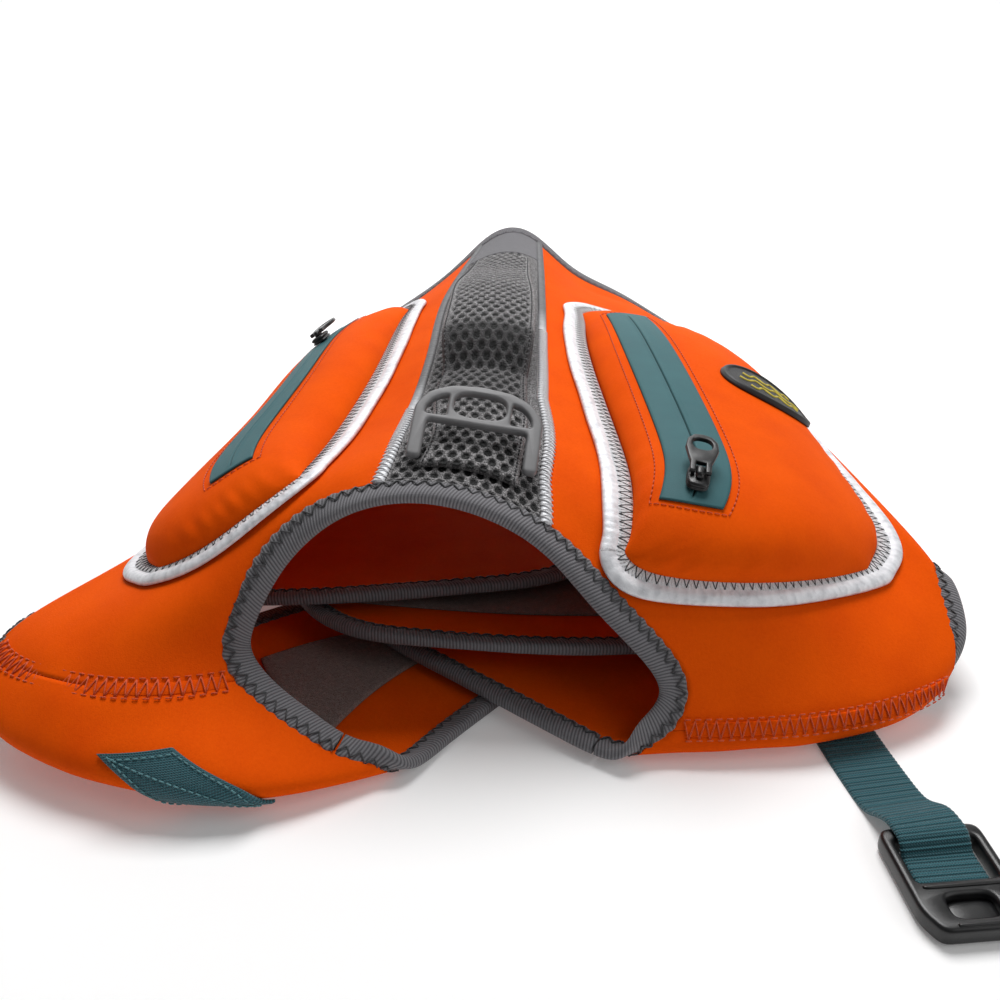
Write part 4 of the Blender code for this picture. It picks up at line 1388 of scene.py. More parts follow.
@dataclass
class Bindings(Assembly):
    """Grey ribbed binding: one folded tape round the neck and both flap edges, and one on the hem."""

    neck_width: float = 11.0
    edge_width: float = 9.2
    inside: float = 1.4
    thickness: float = 2.6
    squareness: float = 2.8
    step: float = 0.62
    puff: float = 0.16
    stitch_pitch: float = 5.0
    ring: int = 18
    thread: float = 0.36

    def flap_outline(self, side: Side, seam: float, stations: Pair, stop: float) -> Array:
        """(u, v) pairs round a flap: front edge, round tip and rear edge back to stop.

        Args:
            side: which side.
            seam: size of u where the flap starts.
            stations: v of its front and rear edges.
            stop: size of u where the rear edge's run ends.
        Returns:
            The pairs.
        """
        first, last = stations
        turn = np.linspace(0, math.pi / 2, 12)
        reach = TIP - TIP_ROUNDING
        runs = (
            np.stack([np.linspace(seam + SEAM_U, reach, 60), np.full(60, first)], -1),
            np.stack([reach + TIP_ROUNDING * np.sin(turn), first + TIP_ROUNDING * (1 - np.cos(turn))], -1),
            np.stack([np.full(30, TIP), np.linspace(first + TIP_ROUNDING, last - TIP_ROUNDING, 30)], -1),
            np.stack([reach + TIP_ROUNDING * np.cos(turn), last - TIP_ROUNDING * (1 - np.sin(turn))], -1),
            np.stack([np.linspace(reach, stop, 60), np.full(60, last)], -1),
        )
        return np.concatenate(runs) * np.array([side.sign, 1.0])

    def side_path(self, side: Side) -> Array:
        """(u, v) pairs along one side: chest flap, leg hole and belly flap.

        Args:
            side: which side.
        Returns:
            The pairs.
        """
        seam = side.chest_seam
        v = np.linspace(LEG_EDGE[1].v, LEG_EDGE[-2].v, 60)
        leg = np.stack([side.sign * side_end(v, side), v], -1)
        chest = self.flap_outline(side, seam, CHEST_V, seam + SEAM_U)
        belly = self.flap_outline(side, BELLY_SEAM, BELLY_V, 4.95)
        return np.concatenate([chest[:-3], leg, belly[3:]])

    def main_path(self) -> tuple[Ribbon, float, float]:
        """The whole bound edge, smoothed, and the stretch of it that is the neck's.

        Returns:
            The path, and the lengths where the neck's piece starts and ends.
        """
        left, right = self.side_path(Side.LEFT)[::-1], self.side_path(Side.RIGHT)
        collar = np.stack([np.linspace(-Side.LEFT.chest_seam, Side.RIGHT.chest_seam, 240), np.zeros(240)], -1)
        path = np.concatenate([left, collar[1:-1], right])
        rough = ribbon_on(garment, path, WALL / 2)
        ends = []
        for spot in ((-4.8, 0.0), (5.08, 0.0)):
            off = np.abs(path - np.array(spot)).sum(axis=1)
            ends.append(float(rough.lengths[int(np.argmin(off))]))
        fine = rough.resampled(1.0)
        scale = fine.lengths[-1] / rough.lengths[-1]
        return fine.smoothed(4.0, 7.0), ends[0] * scale, ends[1] * scale

    def section(self, ribbon: Ribbon, half: Array) -> tuple[Array, Array]:
        """Side and up offsets of the tape's ring: a squarish oval, puffed between pulled-in stitches.

        Args:
            ribbon: the tape's middle line.
            half: half width for each place.
        Returns:
            Offsets, a row for each place.
        """
        angle = full_turn(self.ring) + math.pi / self.ring
        across = squarish(np.cos(angle), 2 / self.squareness)
        rise = squarish(np.sin(angle), 2 / self.squareness)
        along = ribbon.lengths[:, None]
        side = half[:, None] * across
        puff = np.cos(2 * math.pi * along / self.stitch_pitch + 0.8 * np.sin(along / 23.0))
        pull = np.exp(-(((across + 0.5) / 0.3)**2))
        scallop = 0.45 * np.cos(2 * math.pi * along / self.stitch_pitch) * smooth_step(-across, 0.5, 1.0)
        wave = 0.35 * np.sin(along / 17.0) * np.sin(along / 41.0 + 1.0)
        thick = self.thickness + wave + 0.35 * smooth_step(across, 0.0, 0.8)
        up = rise * (thick + self.puff * puff * smooth_step(-across, 0.0, 0.6) - 0.5 * pull)
        return side + scallop, up

    def height(self, sideways: Array, half: float, sunk: float) -> Array:
        """Height of a thread that lies on the tape's face, a little sunk, for a sideways offset."""
        across = np.clip(np.abs(sideways) / half, 0, 0.999)
        return self.thickness * (1 - across**self.squareness)**(1 / self.squareness) - sunk

    def tape(self, name: str, ribbon: Ribbon, first: float, last: float, half: Array,
             plump: float = 1.0) -> None:
        """One named length of tape and its zigzag stitches, on both faces.

        Args:
            name: the node.
            ribbon: the whole path.
            first, last: lengths where this one starts and ends.
            half: half width for each place.
            plump: factor on its thickness.
        """
        keep = (ribbon.lengths >= first) & (ribbon.lengths <= last)
        stretch = Ribbon(ribbon.points[keep], ribbon.normal[keep])
        half = half[keep]
        side, up = self.section(stretch, half)
        item = swept(name, stretch, side, up * plump)
        self.dress(item, "tape_ribbed", "ribbed", name)
        width = float(np.median(half))
        self.stitches(name + "_stitches", stretch, width, 1)
        self.stitches(name + "_stitches_inside", stretch, width, -1)

    def stitches(self, name: str, ribbon: Ribbon, half: float, face: int) -> None:
        """The zigzag row along the sewn side of a tape.

        Args:
            name: the piece's name.
            ribbon: the tape's middle line.
            half: its half width.
            face: 1 outside and -1 inside.
        """
        low, high = -0.80 * half, -0.12 * half
        turned_over = Ribbon(ribbon.points, ribbon.normal * face)
        if face < 0:
            low, high = -high, -low
        rise = partial(self.height, half=half, sunk=0.12)
        paths, up = zigzag(turned_over, self.stitch_pitch, low, high, rise, steps=4)
        self.dress(threads(name, paths, up, self.thread, 5), "thread_grey", "ribbed")

    def build(self) -> None:
        """Makes the four bindings."""
        ribbon, first, last = self.main_path()
        lengths = ribbon.lengths
        neck = smooth_step(lengths, first - 12, first + 12) * (1 - smooth_step(lengths, last - 12, last + 12))
        width = self.edge_width + (self.neck_width - self.edge_width) * neck
        middle = ribbon.moved(width / 2 - self.inside).smoothed(3.0, 5.0)
        scale = middle.lengths[-1] / lengths[-1]
        fine = middle.resampled(self.step)
        half = np.interp(fine.lengths, middle.lengths, width / 2)
        first, last = first * scale, last * scale
        self.tape("flap_binding_left", fine, 0.0, first, half)
        self.tape("neck_binding", fine, first + 0.2, last, half)
        self.tape("flap_binding_right", fine, last + 0.2, fine.lengths[-1], half)
        self.build_hem()

    def build_hem(self) -> None:
        """The binding along the rear edge, from one free side edge to the other."""
        free = np.linspace(4.42, 4.98, 20)
        across = np.linspace(BELLY_SEAM, -BELLY_SEAM, 260)
        path = np.concatenate([
            np.stack([np.full(20, BELLY_SEAM), free], -1),
            np.stack([across, np.full(260, 5.0)], -1),
            np.stack([np.full(20, -BELLY_SEAM), free[::-1]], -1),
        ])
        ribbon = ribbon_on(garment, path, WALL / 2).resampled(1.0).smoothed(3.0, 6.0)
        middle = ribbon.moved(self.edge_width / 2 - self.inside).smoothed(3.0, 5.0)
        fine = middle.resampled(self.step)
        half = np.full(len(fine.points), self.edge_width / 2)
        self.tape("hem_binding", fine, 0.0, fine.lengths[-1] + 1, half, 1.5)


CREASES = {
    Side.RIGHT: (
        Crease((1.1, 0.35), (2.4, 0.18), -1.1, 7.0), Crease((3.9, 0.25), (4.9, 0.7), -0.9, 9.0),
        Crease((3.7, 2.0), (4.4, 1.3), 1.2, 10.0), Crease((5.3, 0.4), (6.2, 1.2), -0.8, 12.0),
        Crease((3.4, 4.5), (4.2, 4.8), 0.9, 9.0), Crease((0.9, 4.7), (2.2, 4.85), -0.9, 8.0),
        Crease((4.7, 3.3), (5.6, 3.9), -0.9, 10.0), Crease((5.0, 1.0), (5.9, 1.8), 0.7, 8.0),
    ),
    Side.LEFT: (
        Crease((-1.1, 0.42), (-2.7, 0.5), -1.2, 6.5), Crease((-2.6, 0.3), (-3.7, 0.9), 1.0, 11.0),
        Crease((-4.3, 0.5), (-4.9, 1.6), -1.1, 9.0), Crease((-3.7, 1.6), (-4.5, 1.2), 1.3, 11.0),
        Crease((-4.9, 0.3), (-5.8, 0.5), -0.9, 8.0), Crease((-1.0, 4.7), (-2.6, 4.8), -0.8, 9.0),
        Crease((-4.9, 3.3), (-5.9, 3.8), 0.9, 11.0), Crease((-3.2, 4.5), (-4.2, 4.2), -0.8, 8.0),
    ),
}


@dataclass
class Panels(Assembly):
    """The six neoprene panels, with their creases and the flatlock seams between them."""

    pitch: float = 3.9
    groove: float = 0.55

    def rows(self) -> Array:
        """Stations of a side panel's rows: even, with those of the leg hole.

        Returns:
            The stations.
        """
        leg = [row.v for row in LEG_EDGE]
        near = np.concatenate([np.linspace(one, two, 5) for one, two in zip(leg, leg[1:])])
        return np.unique(np.round(np.concatenate([np.linspace(0, 2, 50), near, np.linspace(3, 5, 50)]), 5))

    def side_grid(self, side: Side) -> Array:
        """(u, v) pairs of a side panel, from the spine seam outwards.

        Args:
            side: which side.
        Returns:
            The grid.
        """
        v = self.rows()
        start = spine_seam(v, side) + side.sign * (PIPING_U + SEAM_U)
        end = side.sign * side_end(v, side)
        return between(np.stack([start, v], -1), np.stack([end, v], -1), np.linspace(0, 1, 84))

    def flap_grid(self, side: Side, seam: float, stations: Pair) -> Array:
        """(u, v) pairs of a flap, from its seam to its round tip.

        Args:
            side: which side.
            seam: size of u at the seam.
            stations: v of its two edges.
        Returns:
            The grid.
        """
        first, last = stations
        turn = TIP_ROUNDING * (1 - np.cos(np.linspace(0, math.pi / 2, 9)))
        v = np.concatenate([first + turn, np.linspace(first + TIP_ROUNDING, last - TIP_ROUNDING, 30)[1:-1],
                            (last - turn)[::-1]])
        inset = np.clip(1 - np.minimum(v - first, last - v) / TIP_ROUNDING, 0, 1)
        tip = TIP - TIP_ROUNDING * (1 - np.sqrt(1 - inset**2))
        start = np.full(len(v), seam + SEAM_U)
        share = np.linspace(0, 1, 90)
        grid = between(np.stack([start, v], -1), np.stack([tip, v], -1), share)
        return grid * np.array([side.sign, 1.0])

    def panel(self, name: str, side: Side, grid: Array) -> None:
        """One panel: its inner face on the form, its outer face a wall out, with creases.

        Args:
            name: the node.
            side: which side's creases it has.
            grid: its (u, v) pairs.
        """
        base = garment(grid)
        crease = crease_lift(base, CREASES[side])
        seam = np.abs(np.abs(grid[..., 0]) - side.chest_seam) + 5.0 * (grid[..., 1] > CHEST_V[1])
        spacing = np.abs(np.gradient(grid[..., 0], axis=1)) + 1e-9
        step = np.linalg.norm(np.gradient(base, axis=1), axis=-1) / spacing
        sunk = self.groove * np.exp(-((seam * step / 5.5)**2))
        low = lifted(garment, grid, 0.0)
        high = lifted(garment, grid, WALL - sunk + np.maximum(crease, -0.9))
        self.cloth(name, low, high, "knit_orange", "neoprene")

    def flatlock(self, side: Side) -> None:
        """The chest seam's big flatlock: slanted threads between two rows of dots, tone on tone.

        Args:
            side: which side.
        """
        v = np.linspace(0.10, 1.93, 120)
        path = np.stack([np.full(120, side.sign * side.chest_seam), v], -1)
        ribbon = ribbon_on(garment, path, WALL + 0.05).resampled(1.0).smoothed(1.5, 3.0)
        paths, up = zigzag(ribbon, self.pitch, -3.4, 3.4, 0.0, steps=5, lean=-0.22)
        name = f"flatlock_{side.value}"
        pieces = [threads(name + "_slants", paths, up, 0.30, 5)]
        for offset in (-3.9, 3.9):
            dots, up = dashes(ribbon.moved(offset), self.pitch, 0.55, 0.4)
            pieces.append(threads(name + "_dots", dots, up, 0.30, 5))
        self.dress(joined(name, pieces), "thread_orange", "neoprene")
        angle = full_turn(10)
        ones = np.ones((len(ribbon.points), 1))
        strip = swept(f"seam_{side.value}", ribbon.moved(0.0, -0.5), 2.6 * np.cos(angle) * ones,
                      0.35 * np.sin(angle) * ones)
        self.dress(strip, "knit_orange", "neoprene")

    def build(self) -> None:
        """Makes the six panels and the seams."""
        for side in Side:
            name = side.value
            self.panel(f"side_{name}", side, self.side_grid(side))
            self.panel(f"chest_{name}", side, self.flap_grid(side, side.chest_seam, CHEST_V))
            self.panel(f"belly_{name}", side, self.flap_grid(side, BELLY_SEAM, BELLY_V))
            self.flatlock(side)


# length of each piping's bright stretch, about midway into its painted grey shade; its white overlock stops
# there
BRIGHT_PIPING = {Side.RIGHT: 180.0, Side.LEFT: 70.0}


@dataclass
class Spine(Assembly):
    """The mesh spine panel, its plain tail cap and the silver piping in both of its seams."""

    hole_pitch: Pair = (5.0, 9.6)
    hole_size: Pair = (1.5, 2.2)
    depth: float = 1.1
    plain_band: Pair = (0.82, 1.5)
    across: int = 84
    along: int = 430

    def holes(self, cut: Array) -> Array:
        """1 inside staggered oval holes and 0 between them, by the distance to the nearest middle.

        Args:
            cut: millimetres across and along.
        Returns:
            The mask.
        """
        pitch, size = self.hole_pitch, self.hole_size
        nearest = np.full(cut.shape[:-1], 9.0)
        for shift in (0.0, 0.5):
            x = (cut[..., 0] / pitch[0] + shift) % 1.0 - 0.5
            y = (cut[..., 1] / pitch[1] + shift) % 1.0 - 0.5
            nearest = np.minimum(nearest, np.hypot(x * pitch[0] / size[0], y * pitch[1] / size[1]))
        return 1 - smooth_step(nearest, 0.80, 1.18)

    def strip(self, start: float, end: float, rows: int, columns: int) -> Array:
        """(u, v) pairs of the spine panel between two stations.

        Args:
            start, end: stations.
            rows, columns: size of the grid.
        Returns:
            The grid.
        """
        v = np.linspace(start, end, rows)
        inset = PIPING_U + SEAM_U
        left = np.stack([spine_seam(v, Side.LEFT) + inset, v], -1)
        right = np.stack([spine_seam(v, Side.RIGHT) - inset, v], -1)
        return between(left, right, np.linspace(0, 1, columns))

    def build_mesh(self) -> None:
        """The spacer mesh: a wall whose outer face sinks at each hole, coarser near the neck, with painted
        shade in its holes and towards the tail.
        """
        grid = self.strip(0.0, TAIL_CAP_V, self.along, self.across)
        low = lifted(garment, grid, 0.0)
        cut = cut_lengths(lifted(garment, grid, MESH_WALL))
        mask = self.holes(cut) * smooth_step(from_ends(self.across), 1.0, 3.0)
        share = np.linspace(0, 1, self.across)[None, :]
        band = smooth_step(share, self.plain_band[0] - 0.03, self.plain_band[0])
        mask = mask * (1 - band * smooth_step(grid[..., 1], self.plain_band[1], self.plain_band[1] + 0.2))
        ripple = 0.18 * np.sin(2 * math.pi * cut[..., 1] / 1.85)
        high = lifted(garment, grid, MESH_WALL - 0.2 - self.depth * mask + ripple * (1 - mask))
        # painted shade: the shaded mark is slight near the neck and deeper from station 1.2 to 2.2 on, under
        # the arched handle; the hole mark paints shade into the holes
        deep = smooth_step(grid[..., 1], 1.2, 2.2) * 0.35 + 0.05
        self.cloth("spine_panel", low, high, "mesh_spacer", "mesh", marks={"hole": mask, "shaded": deep})

    def build_cap(self) -> None:
        """The plain tail cap."""
        grid = self.strip(TAIL_CAP_V + SEAM_U, 5.0, 30, 40)
        low, high = lifted(garment, grid, 0.0), lifted(garment, grid, MESH_WALL)
        self.cloth("spine_tail_cap", low, high, "tape_ribbed", "ribbed")

    @staticmethod
    def roll_height(sideways: Array) -> Array:
        """Height of a thread over the piping's middle line: a half ellipse."""
        return 1.5 * np.sqrt(np.clip(1 - (sideways / 2.9)**2, 0, 1)) - 0.05

    def build_piping(self, side: Side) -> None:
        """Silver tape in a spine seam: a low roll, wrapped by overlock threads.

        Args:
            side: which seam.
        """
        v = np.linspace(0.0, 5.0, 300)
        path = np.stack([spine_seam(v, side), v], -1)
        ribbon = ribbon_on(garment, path, WALL).resampled(0.9).smoothed(2.0, 5.0)
        angle = full_turn(14)
        pinch = 1 + 0.10 * np.cos(2 * math.pi * ribbon.lengths[:, None] / 2.7)
        across = 2.3 * np.cos(angle) * np.ones_like(pinch)
        up = np.where(np.sin(angle) > 0, 1.5 * pinch, 2.0) * np.sin(angle)
        name = f"piping_{side.value}"
        self.dress(swept(name, ribbon, across, up), name, "silver", name)
        ribbon = ribbon.part(0.0, BRIGHT_PIPING[side])
        paths, normal = zigzag(ribbon, 2.7, -2.6, 2.6, self.roll_height, steps=6, lean=-0.3)
        self.dress(threads(name + "_overlock", paths, normal, 0.30, 4), "thread_white", "silver")

    def build(self) -> None:
        """Makes the spine."""
        self.build_mesh()
        self.build_cap()
        for side in Side:
            self.build_piping(side)


@dataclass
class Handle(Spine):
    """The padded mesh handle arched over the spine, with a turned and stitched edge on each side."""

    rows: tuple[HandleRow, ...] = (
        HandleRow(0.25, 0.16, 0.42, 0.0), HandleRow(0.9, 0.09, 0.38, 0.0), HandleRow(1.4, 0.02, 0.37, 0.8),
        HandleRow(1.9, -0.05, 0.36, 1.5), HandleRow(2.2, -0.07, 0.35, 1.8), HandleRow(2.34, -0.07, 0.345, 2.8),
        HandleRow(2.43, -0.07, 0.34, 8.5), HandleRow(2.52, -0.075, 0.335, 14.2),
        HandleRow(2.66, -0.08, 0.33, 17.2), HandleRow(3.0, -0.09, 0.33, 18.0),
        HandleRow(3.4, -0.11, 0.33, 15.5), HandleRow(3.8, -0.13, 0.33, 9.5),
        HandleRow(4.15, -0.14, 0.34, 3.5), HandleRow(4.45, -0.14, 0.34, 0.4),
    )
    hole_pitch: Pair = (5.2, 10.4)
    hole_size: Pair = (1.6, 2.45)
    depth: float = 1.35
    wall: float = 3.0
    edge: float = 0.86
    across: int = 76
    along: int = 470

    def surface(self) -> tuple[Array, Array]:
        """(u, v) pairs of the handle and its lift off the form, by a spline through the rows.

        Returns:
            The grid, and a lift for each of its rows.
        """
        v = np.linspace(self.rows[0].v, self.rows[-1].v, self.along)
        weights = spline_weights(np.array([row.v for row in self.rows]), v)
        middle, half, lift = (weights @ [row[column] for row in self.rows] for column in (1, 2, 3))
        grid = between(np.stack([middle - half, v], -1), np.stack([middle + half, v], -1),
                       np.linspace(0, 1, self.across))
        return grid, np.maximum(lift, 0.0)

    def build(self) -> None:
        """Makes the handle: holes between the side tapes, a soft crown across, and painted shade on its low
        stretch and the hump's steep front.
        """
        grid, lift = self.surface()
        share = np.linspace(-1, 1, self.across)[None, :]
        low = lifted(garment, grid, MESH_WALL + SEAM + lift[:, None])
        flat = lifted(garment, grid, MESH_WALL + SEAM + self.wall + lift[:, None])
        cut = cut_lengths(flat)
        inside = 1 - smooth_step(np.abs(share), self.edge - 0.05, self.edge)
        mask = self.holes(cut) * inside
        crown = 0.9 * (1 - share**2)
        edge = -1.2 * smooth_step(np.abs(share), 0.94, 1.0)
        ripple = 0.12 * np.sin(2 * math.pi * cut[..., 1] / 1.8) * (1 - mask)
        top = MESH_WALL + SEAM + self.wall + lift[:, None] - 0.5 + crown + edge - self.depth * mask + ripple
        high = lifted(garment, grid, top)
        # painted shade: the shaded mark is slight all along, stronger on the low stretch between the ring and
        # the hump, and strongest where the hump's front rises steeply; the hole mark paints shade into the
        # holes
        rise = np.gradient(lift, grid[:, 0, 1])[:, None]
        foot = smooth_step(grid[..., 1], 1.3, 1.8) * (1 - smooth_step(grid[..., 1], 2.55, 2.72))
        dim = 0.12 + 0.5 * foot + 0.38 * smooth_step(rise, 10.0, 30.0) * foot
        item = closed_sheet("handle", low, high, marks={"hole": mask, "shaded": np.clip(dim, 0.0, 1.0)})
        self.dress(item, "mesh_spacer", "mesh", "handle")
        for sign in (-1, 1):
            column = int((1 + sign * (self.edge + 0.04)) / 2 * (self.across - 1))
            normal = outward(garment, grid[:, column])
            ribbon = Ribbon(high[:, column], normal).resampled(1.0).smoothed(2.0, 4.0)
            paths, up = dashes(ribbon, 2.6, 0.7, 0.45)
            self.dress(threads(f"handle_stitches_{'right' if sign > 0 else 'left'}", paths, up, 0.3, 4),
                       "thread_grey", "mesh")


FLOATS = {
    Side.RIGHT: np.array((((1.62, -0.02), (2.6, 0.45), (3.55, 1.9)), ((0.84, 2.0), (2.0, 2.35), (3.2, 2.9)),
                          ((0.50, 4.2), (1.6, 4.25), (2.7, 4.3)))),
    Side.LEFT: np.array((((-1.1, 0.8), (-2.1, 0.88), (-3.0, 1.45)), ((-1.02, 2.6), (-2.05, 2.7), (-3.1, 2.9)),
                         ((-0.95, 4.35), (-1.85, 4.4), (-2.75, 4.35)))),
}
DENTS = {
    Side.RIGHT: (Crease((1.3, 1.2), (2.2, 1.5), -0.7, 9.0), Crease((2.9, 2.2), (3.0, 3.4), -0.9, 8.0),
                 Crease((2.3, 0.9), (3.0, 1.5), 0.6, 12.0), Crease((1.5, 3.9), (2.3, 3.7), -0.8, 9.0)),
    Side.LEFT: (Crease((-1.4, 1.2), (-2.6, 1.3), -0.8, 9.0), Crease((-2.6, 2.0), (-2.8, 3.4), -0.8, 8.0),
                Crease((-1.4, 2.4), (-1.8, 3.4), 0.5, 12.0), Crease((-1.3, 4.0), (-2.2, 4.1), -0.7, 8.0)),
}
ZIPS = {
    Side.RIGHT: Window(-0.46, -0.42, -0.56, 0.74, 0.19, -0.43, 0.3),
    Side.LEFT: Window(0.20, 0.02, -0.62, 0.74, 0.19, 0.52, 0.25),
}


def float_uv(side: Side, square: Array) -> Array:
    """The (u, v) under places on a float's square.

    The square is rounded to a superellipse at its edge only, then its nine points blend by quadratics.

    Args:
        side: which float.
        square: places from -1 to 1, outwards and to the rear.
    Returns:
        The pairs.
    """
    size = np.abs(square) + 1e-9
    total = np.sum(size**FLOAT_SQUARENESS, axis=-1, keepdims=True)**(1 / FLOAT_SQUARENESS)
    largest = np.sum(size**SOFT_LARGEST, axis=-1, keepdims=True)**(1 / SOFT_LARGEST)
    soft = square * (1 - smooth_step(largest, *ROUNDING) * (1 - largest / total))
    blend = [(x * (x - 1) / 2, 1 - x**2, x * (x + 1) / 2) for x in (soft[..., 0], soft[..., 1])]
    table = FLOATS[side] if side is Side.RIGHT else FLOATS[side][:, ::-1]
    return np.einsum("r...,c...,rck->...k", np.stack(blend[1]), np.stack(blend[0]), table)


def float_lift(side: Side, square: Array) -> Array:
    """Height of a float's top over its flange: full inside, round at the rim, thinner outwards.

    Args:
        side: which float.
        square: places on its square.
    Returns:
        Height for each.
    """
    across = np.clip(np.abs(square[..., 0]) / FLOAT_RIM[0], 0, 1)
    along = np.clip(np.abs(square[..., 1]) / FLOAT_RIM[1], 0, 1)
    thin = 1 - FLOAT_TAPER[side.value] * smooth_step(square[..., 0], *TAPER)
    return thin * FLOAT_HEIGHT * np.sqrt((1 - across**FLOAT_FULLNESS) * (1 - along**FLOAT_FULLNESS))


@dataclass
class Float(Assembly):
    """One foam float: its padded body, silver binding, overlock row and zip window."""

    side: Side = Side.RIGHT
    band: float = 5.9
    stitch: float = 3.7
    pucker: float = 0.26
    tape: float = 0.85
    lip: float = 0.35

    def top(self, square: Array) -> Array:
        """Points of the smooth top, which the zip and the badge lie on."""
        return lifted(garment, float_uv(self.side, square),
                      FLOAT_BASE + FLOAT_FLANGE + float_lift(self.side, square))

    def rim_wave(self, square: Array) -> Array:
        """Puckers near the sewn rim: waves round it that fade within a fifth of the way in.

        Args:
            square: places on the float's square.
        Returns:
            Height for each.
        """
        rim = np.maximum(np.abs(square[..., 0]) / FLOAT_RIM[0], np.abs(square[..., 1]) / FLOAT_RIM[1])
        turn = np.arctan2(square[..., 0], square[..., 1])
        wave = np.sin(turn * 34) + 0.6 * np.sin(turn * 21 + 1.3)
        return self.pucker * wave * smooth_step(rim, 0.78, 0.95) * (1 - smooth_step(rim, 0.985, 1.0))

    def build_body(self) -> None:
        """The padded body: from a flat underside up a steep rim to a crowned top with soft dents."""
        spread = np.sin(np.linspace(-math.pi / 2, math.pi / 2, 96))
        across, along = np.meshgrid(spread * FLOAT_RIM[0], spread * FLOAT_RIM[1])
        square = np.stack([across, along], -1)
        uv = float_uv(self.side, square)
        dent = crease_lift(garment(uv), DENTS[self.side])
        lift = float_lift(self.side, square)
        dent = np.clip(dent, -1, 0.5) * smooth_step(lift, 6.0, 14.0) * self.clear(square)
        top = FLOAT_BASE + FLOAT_FLANGE + lift + dent + self.rim_wave(square)
        name = f"float_{self.side.value}"
        low = lifted(garment, uv, FLOAT_BASE)
        high = lifted(garment, uv, np.maximum(top, FLOAT_BASE + 0.4))
        item = closed_sheet(name, low, high)
        self.dress(item, "knit_orange", "neoprene", name)

    def clear(self, square: Array) -> Array:
        """0 under the zip window and the badge, and 1 away from them.

        Args:
            square: places on the float's square.
        Returns:
            The mask.
        """
        window = ZIPS[self.side]
        share = np.clip((square[..., 1] - window.front) / (window.rear - window.front), 0, 1)
        middle = window.across_front + (window.across_rear - window.across_front) * share
        off = np.abs(square[..., 0] - middle) - window.half_width
        ends = np.maximum(window.front - square[..., 1], square[..., 1] - window.rear)
        mask = smooth_step(np.maximum(off, ends), 0.06, 0.2)
        if self.side is Side.RIGHT:
            away = np.hypot((square[..., 0] - Badge.place[0]) / Badge.half[0],
                            (square[..., 1] - Badge.place[1]) / Badge.half[1])
            mask = mask * smooth_step(away, 1.1, 1.9)
        return mask

    def rim_path(self, share: float, lift: float) -> Ribbon:
        """A closed path round the float, at a share of the way from its outer edge to its body.

        Args:
            share: share of the way in.
            lift: distance off the cloth.
        Returns:
            The closed ribbon.
        """
        turn = np.sin(np.linspace(-math.pi / 2, math.pi / 2, 60))[:-1]
        edge = np.ones_like(turn)
        loop = np.concatenate([np.stack([turn, -edge], -1), np.stack([edge, turn], -1),
                               np.stack([-turn, edge], -1), np.stack([-edge, -turn], -1)])
        loop = np.concatenate([loop, loop[:1]])
        inner = np.array(FLOAT_BINDING_RIM)
        path = float_uv(self.side, loop * (1 - share * (1 - inner)))
        return ribbon_on(garment, path, lift, closed=True).resampled(0.85).smoothed(2.5, 5.0)

    def build_binding(self) -> None:
        """The silver band round the flange and the white overlock row inside it."""
        ribbon = self.rim_path(0.5, FLOAT_BASE)
        inner = self.rim_path(1.0, FLOAT_BASE)
        sign = -1 if self.inward(ribbon, inner) else 1
        along = ribbon.lengths[:, None]
        angle = full_turn(28)
        swell = 1 + 0.09 * np.sin(along / 9.1) * np.sin(along / 21.7 + 2) + 0.02 * np.sin(along / 2.9)
        side = squarish(np.cos(angle), 0.8)
        across = self.band * side * (1 + 0.03 * np.sin(along / 9.0))
        inwards = side * sign
        face = 2.3 - 0.75 * smooth_step(inwards, -0.15, 0.1)
        face = face + 0.25 * np.exp(-(((inwards + 0.5) / 0.3)**2))
        up = np.where(np.sin(angle) > 0, face * swell, 0.0) * np.abs(np.sin(angle))**0.55
        name = f"float_binding_{self.side.value}"
        self.dress(swept(name, ribbon, across, up + 0.05), "tape_silver", "silver", name)
        row = ribbon.moved(sign * 0.55 * self.band, 1.55)
        paths, normal = zigzag(row, self.stitch, -0.46 * self.band, 0.50 * self.band, 0.32, steps=6)
        self.dress(threads(name + "_lockthread", paths, normal, 0.21, 5), "thread_grey", "silver")
        paths, normal = zigzag(row, self.stitch / 3, -0.50 * self.band, 0.56 * self.band, -0.12,
                               steps=5, lean=-0.1)
        self.dress(threads(name + "_overlock", paths, normal, 0.50, 5), "thread_white", "silver")

    @staticmethod
    def inward(outer: Ribbon, inner: Ribbon) -> bool:
        """Whether the side vectors of a loop point away from the loop inside it."""
        middle = inner.points.mean(axis=0)
        return bool(np.einsum("ij,ij->i", outer.across, middle - outer.points).mean() < 0)

    def zip_line(self, share: Array) -> Array:
        """Middle of the zip window in the float's square, from its front to its rear."""
        window = ZIPS[self.side]
        return np.stack([window.across_front + (window.across_rear - window.across_front) * share,
                         window.front + (window.rear - window.front) * share], -1)

    @staticmethod
    def eased(values: Array, reach: int = 11) -> Array:
        """Values of a grid averaged along its rows' direction under a bell, with its ends held.

        Args:
            values: the grid.
            reach: the bell's width in rows.
        Returns:
            The averaged grid.
        """
        bell = np.exp(-0.5 * (np.arange(-2 * reach, 2 * reach + 1) / reach)**2)
        bell /= bell.sum()
        head = 2 * values[:1] - values[2 * reach:0:-1]
        tail = 2 * values[-1:] - values[-2:-2 * reach - 2:-1]
        padded = np.concatenate([head, values, tail])
        return sum(weight * padded[shift:shift + len(values)] for shift, weight in enumerate(bell))

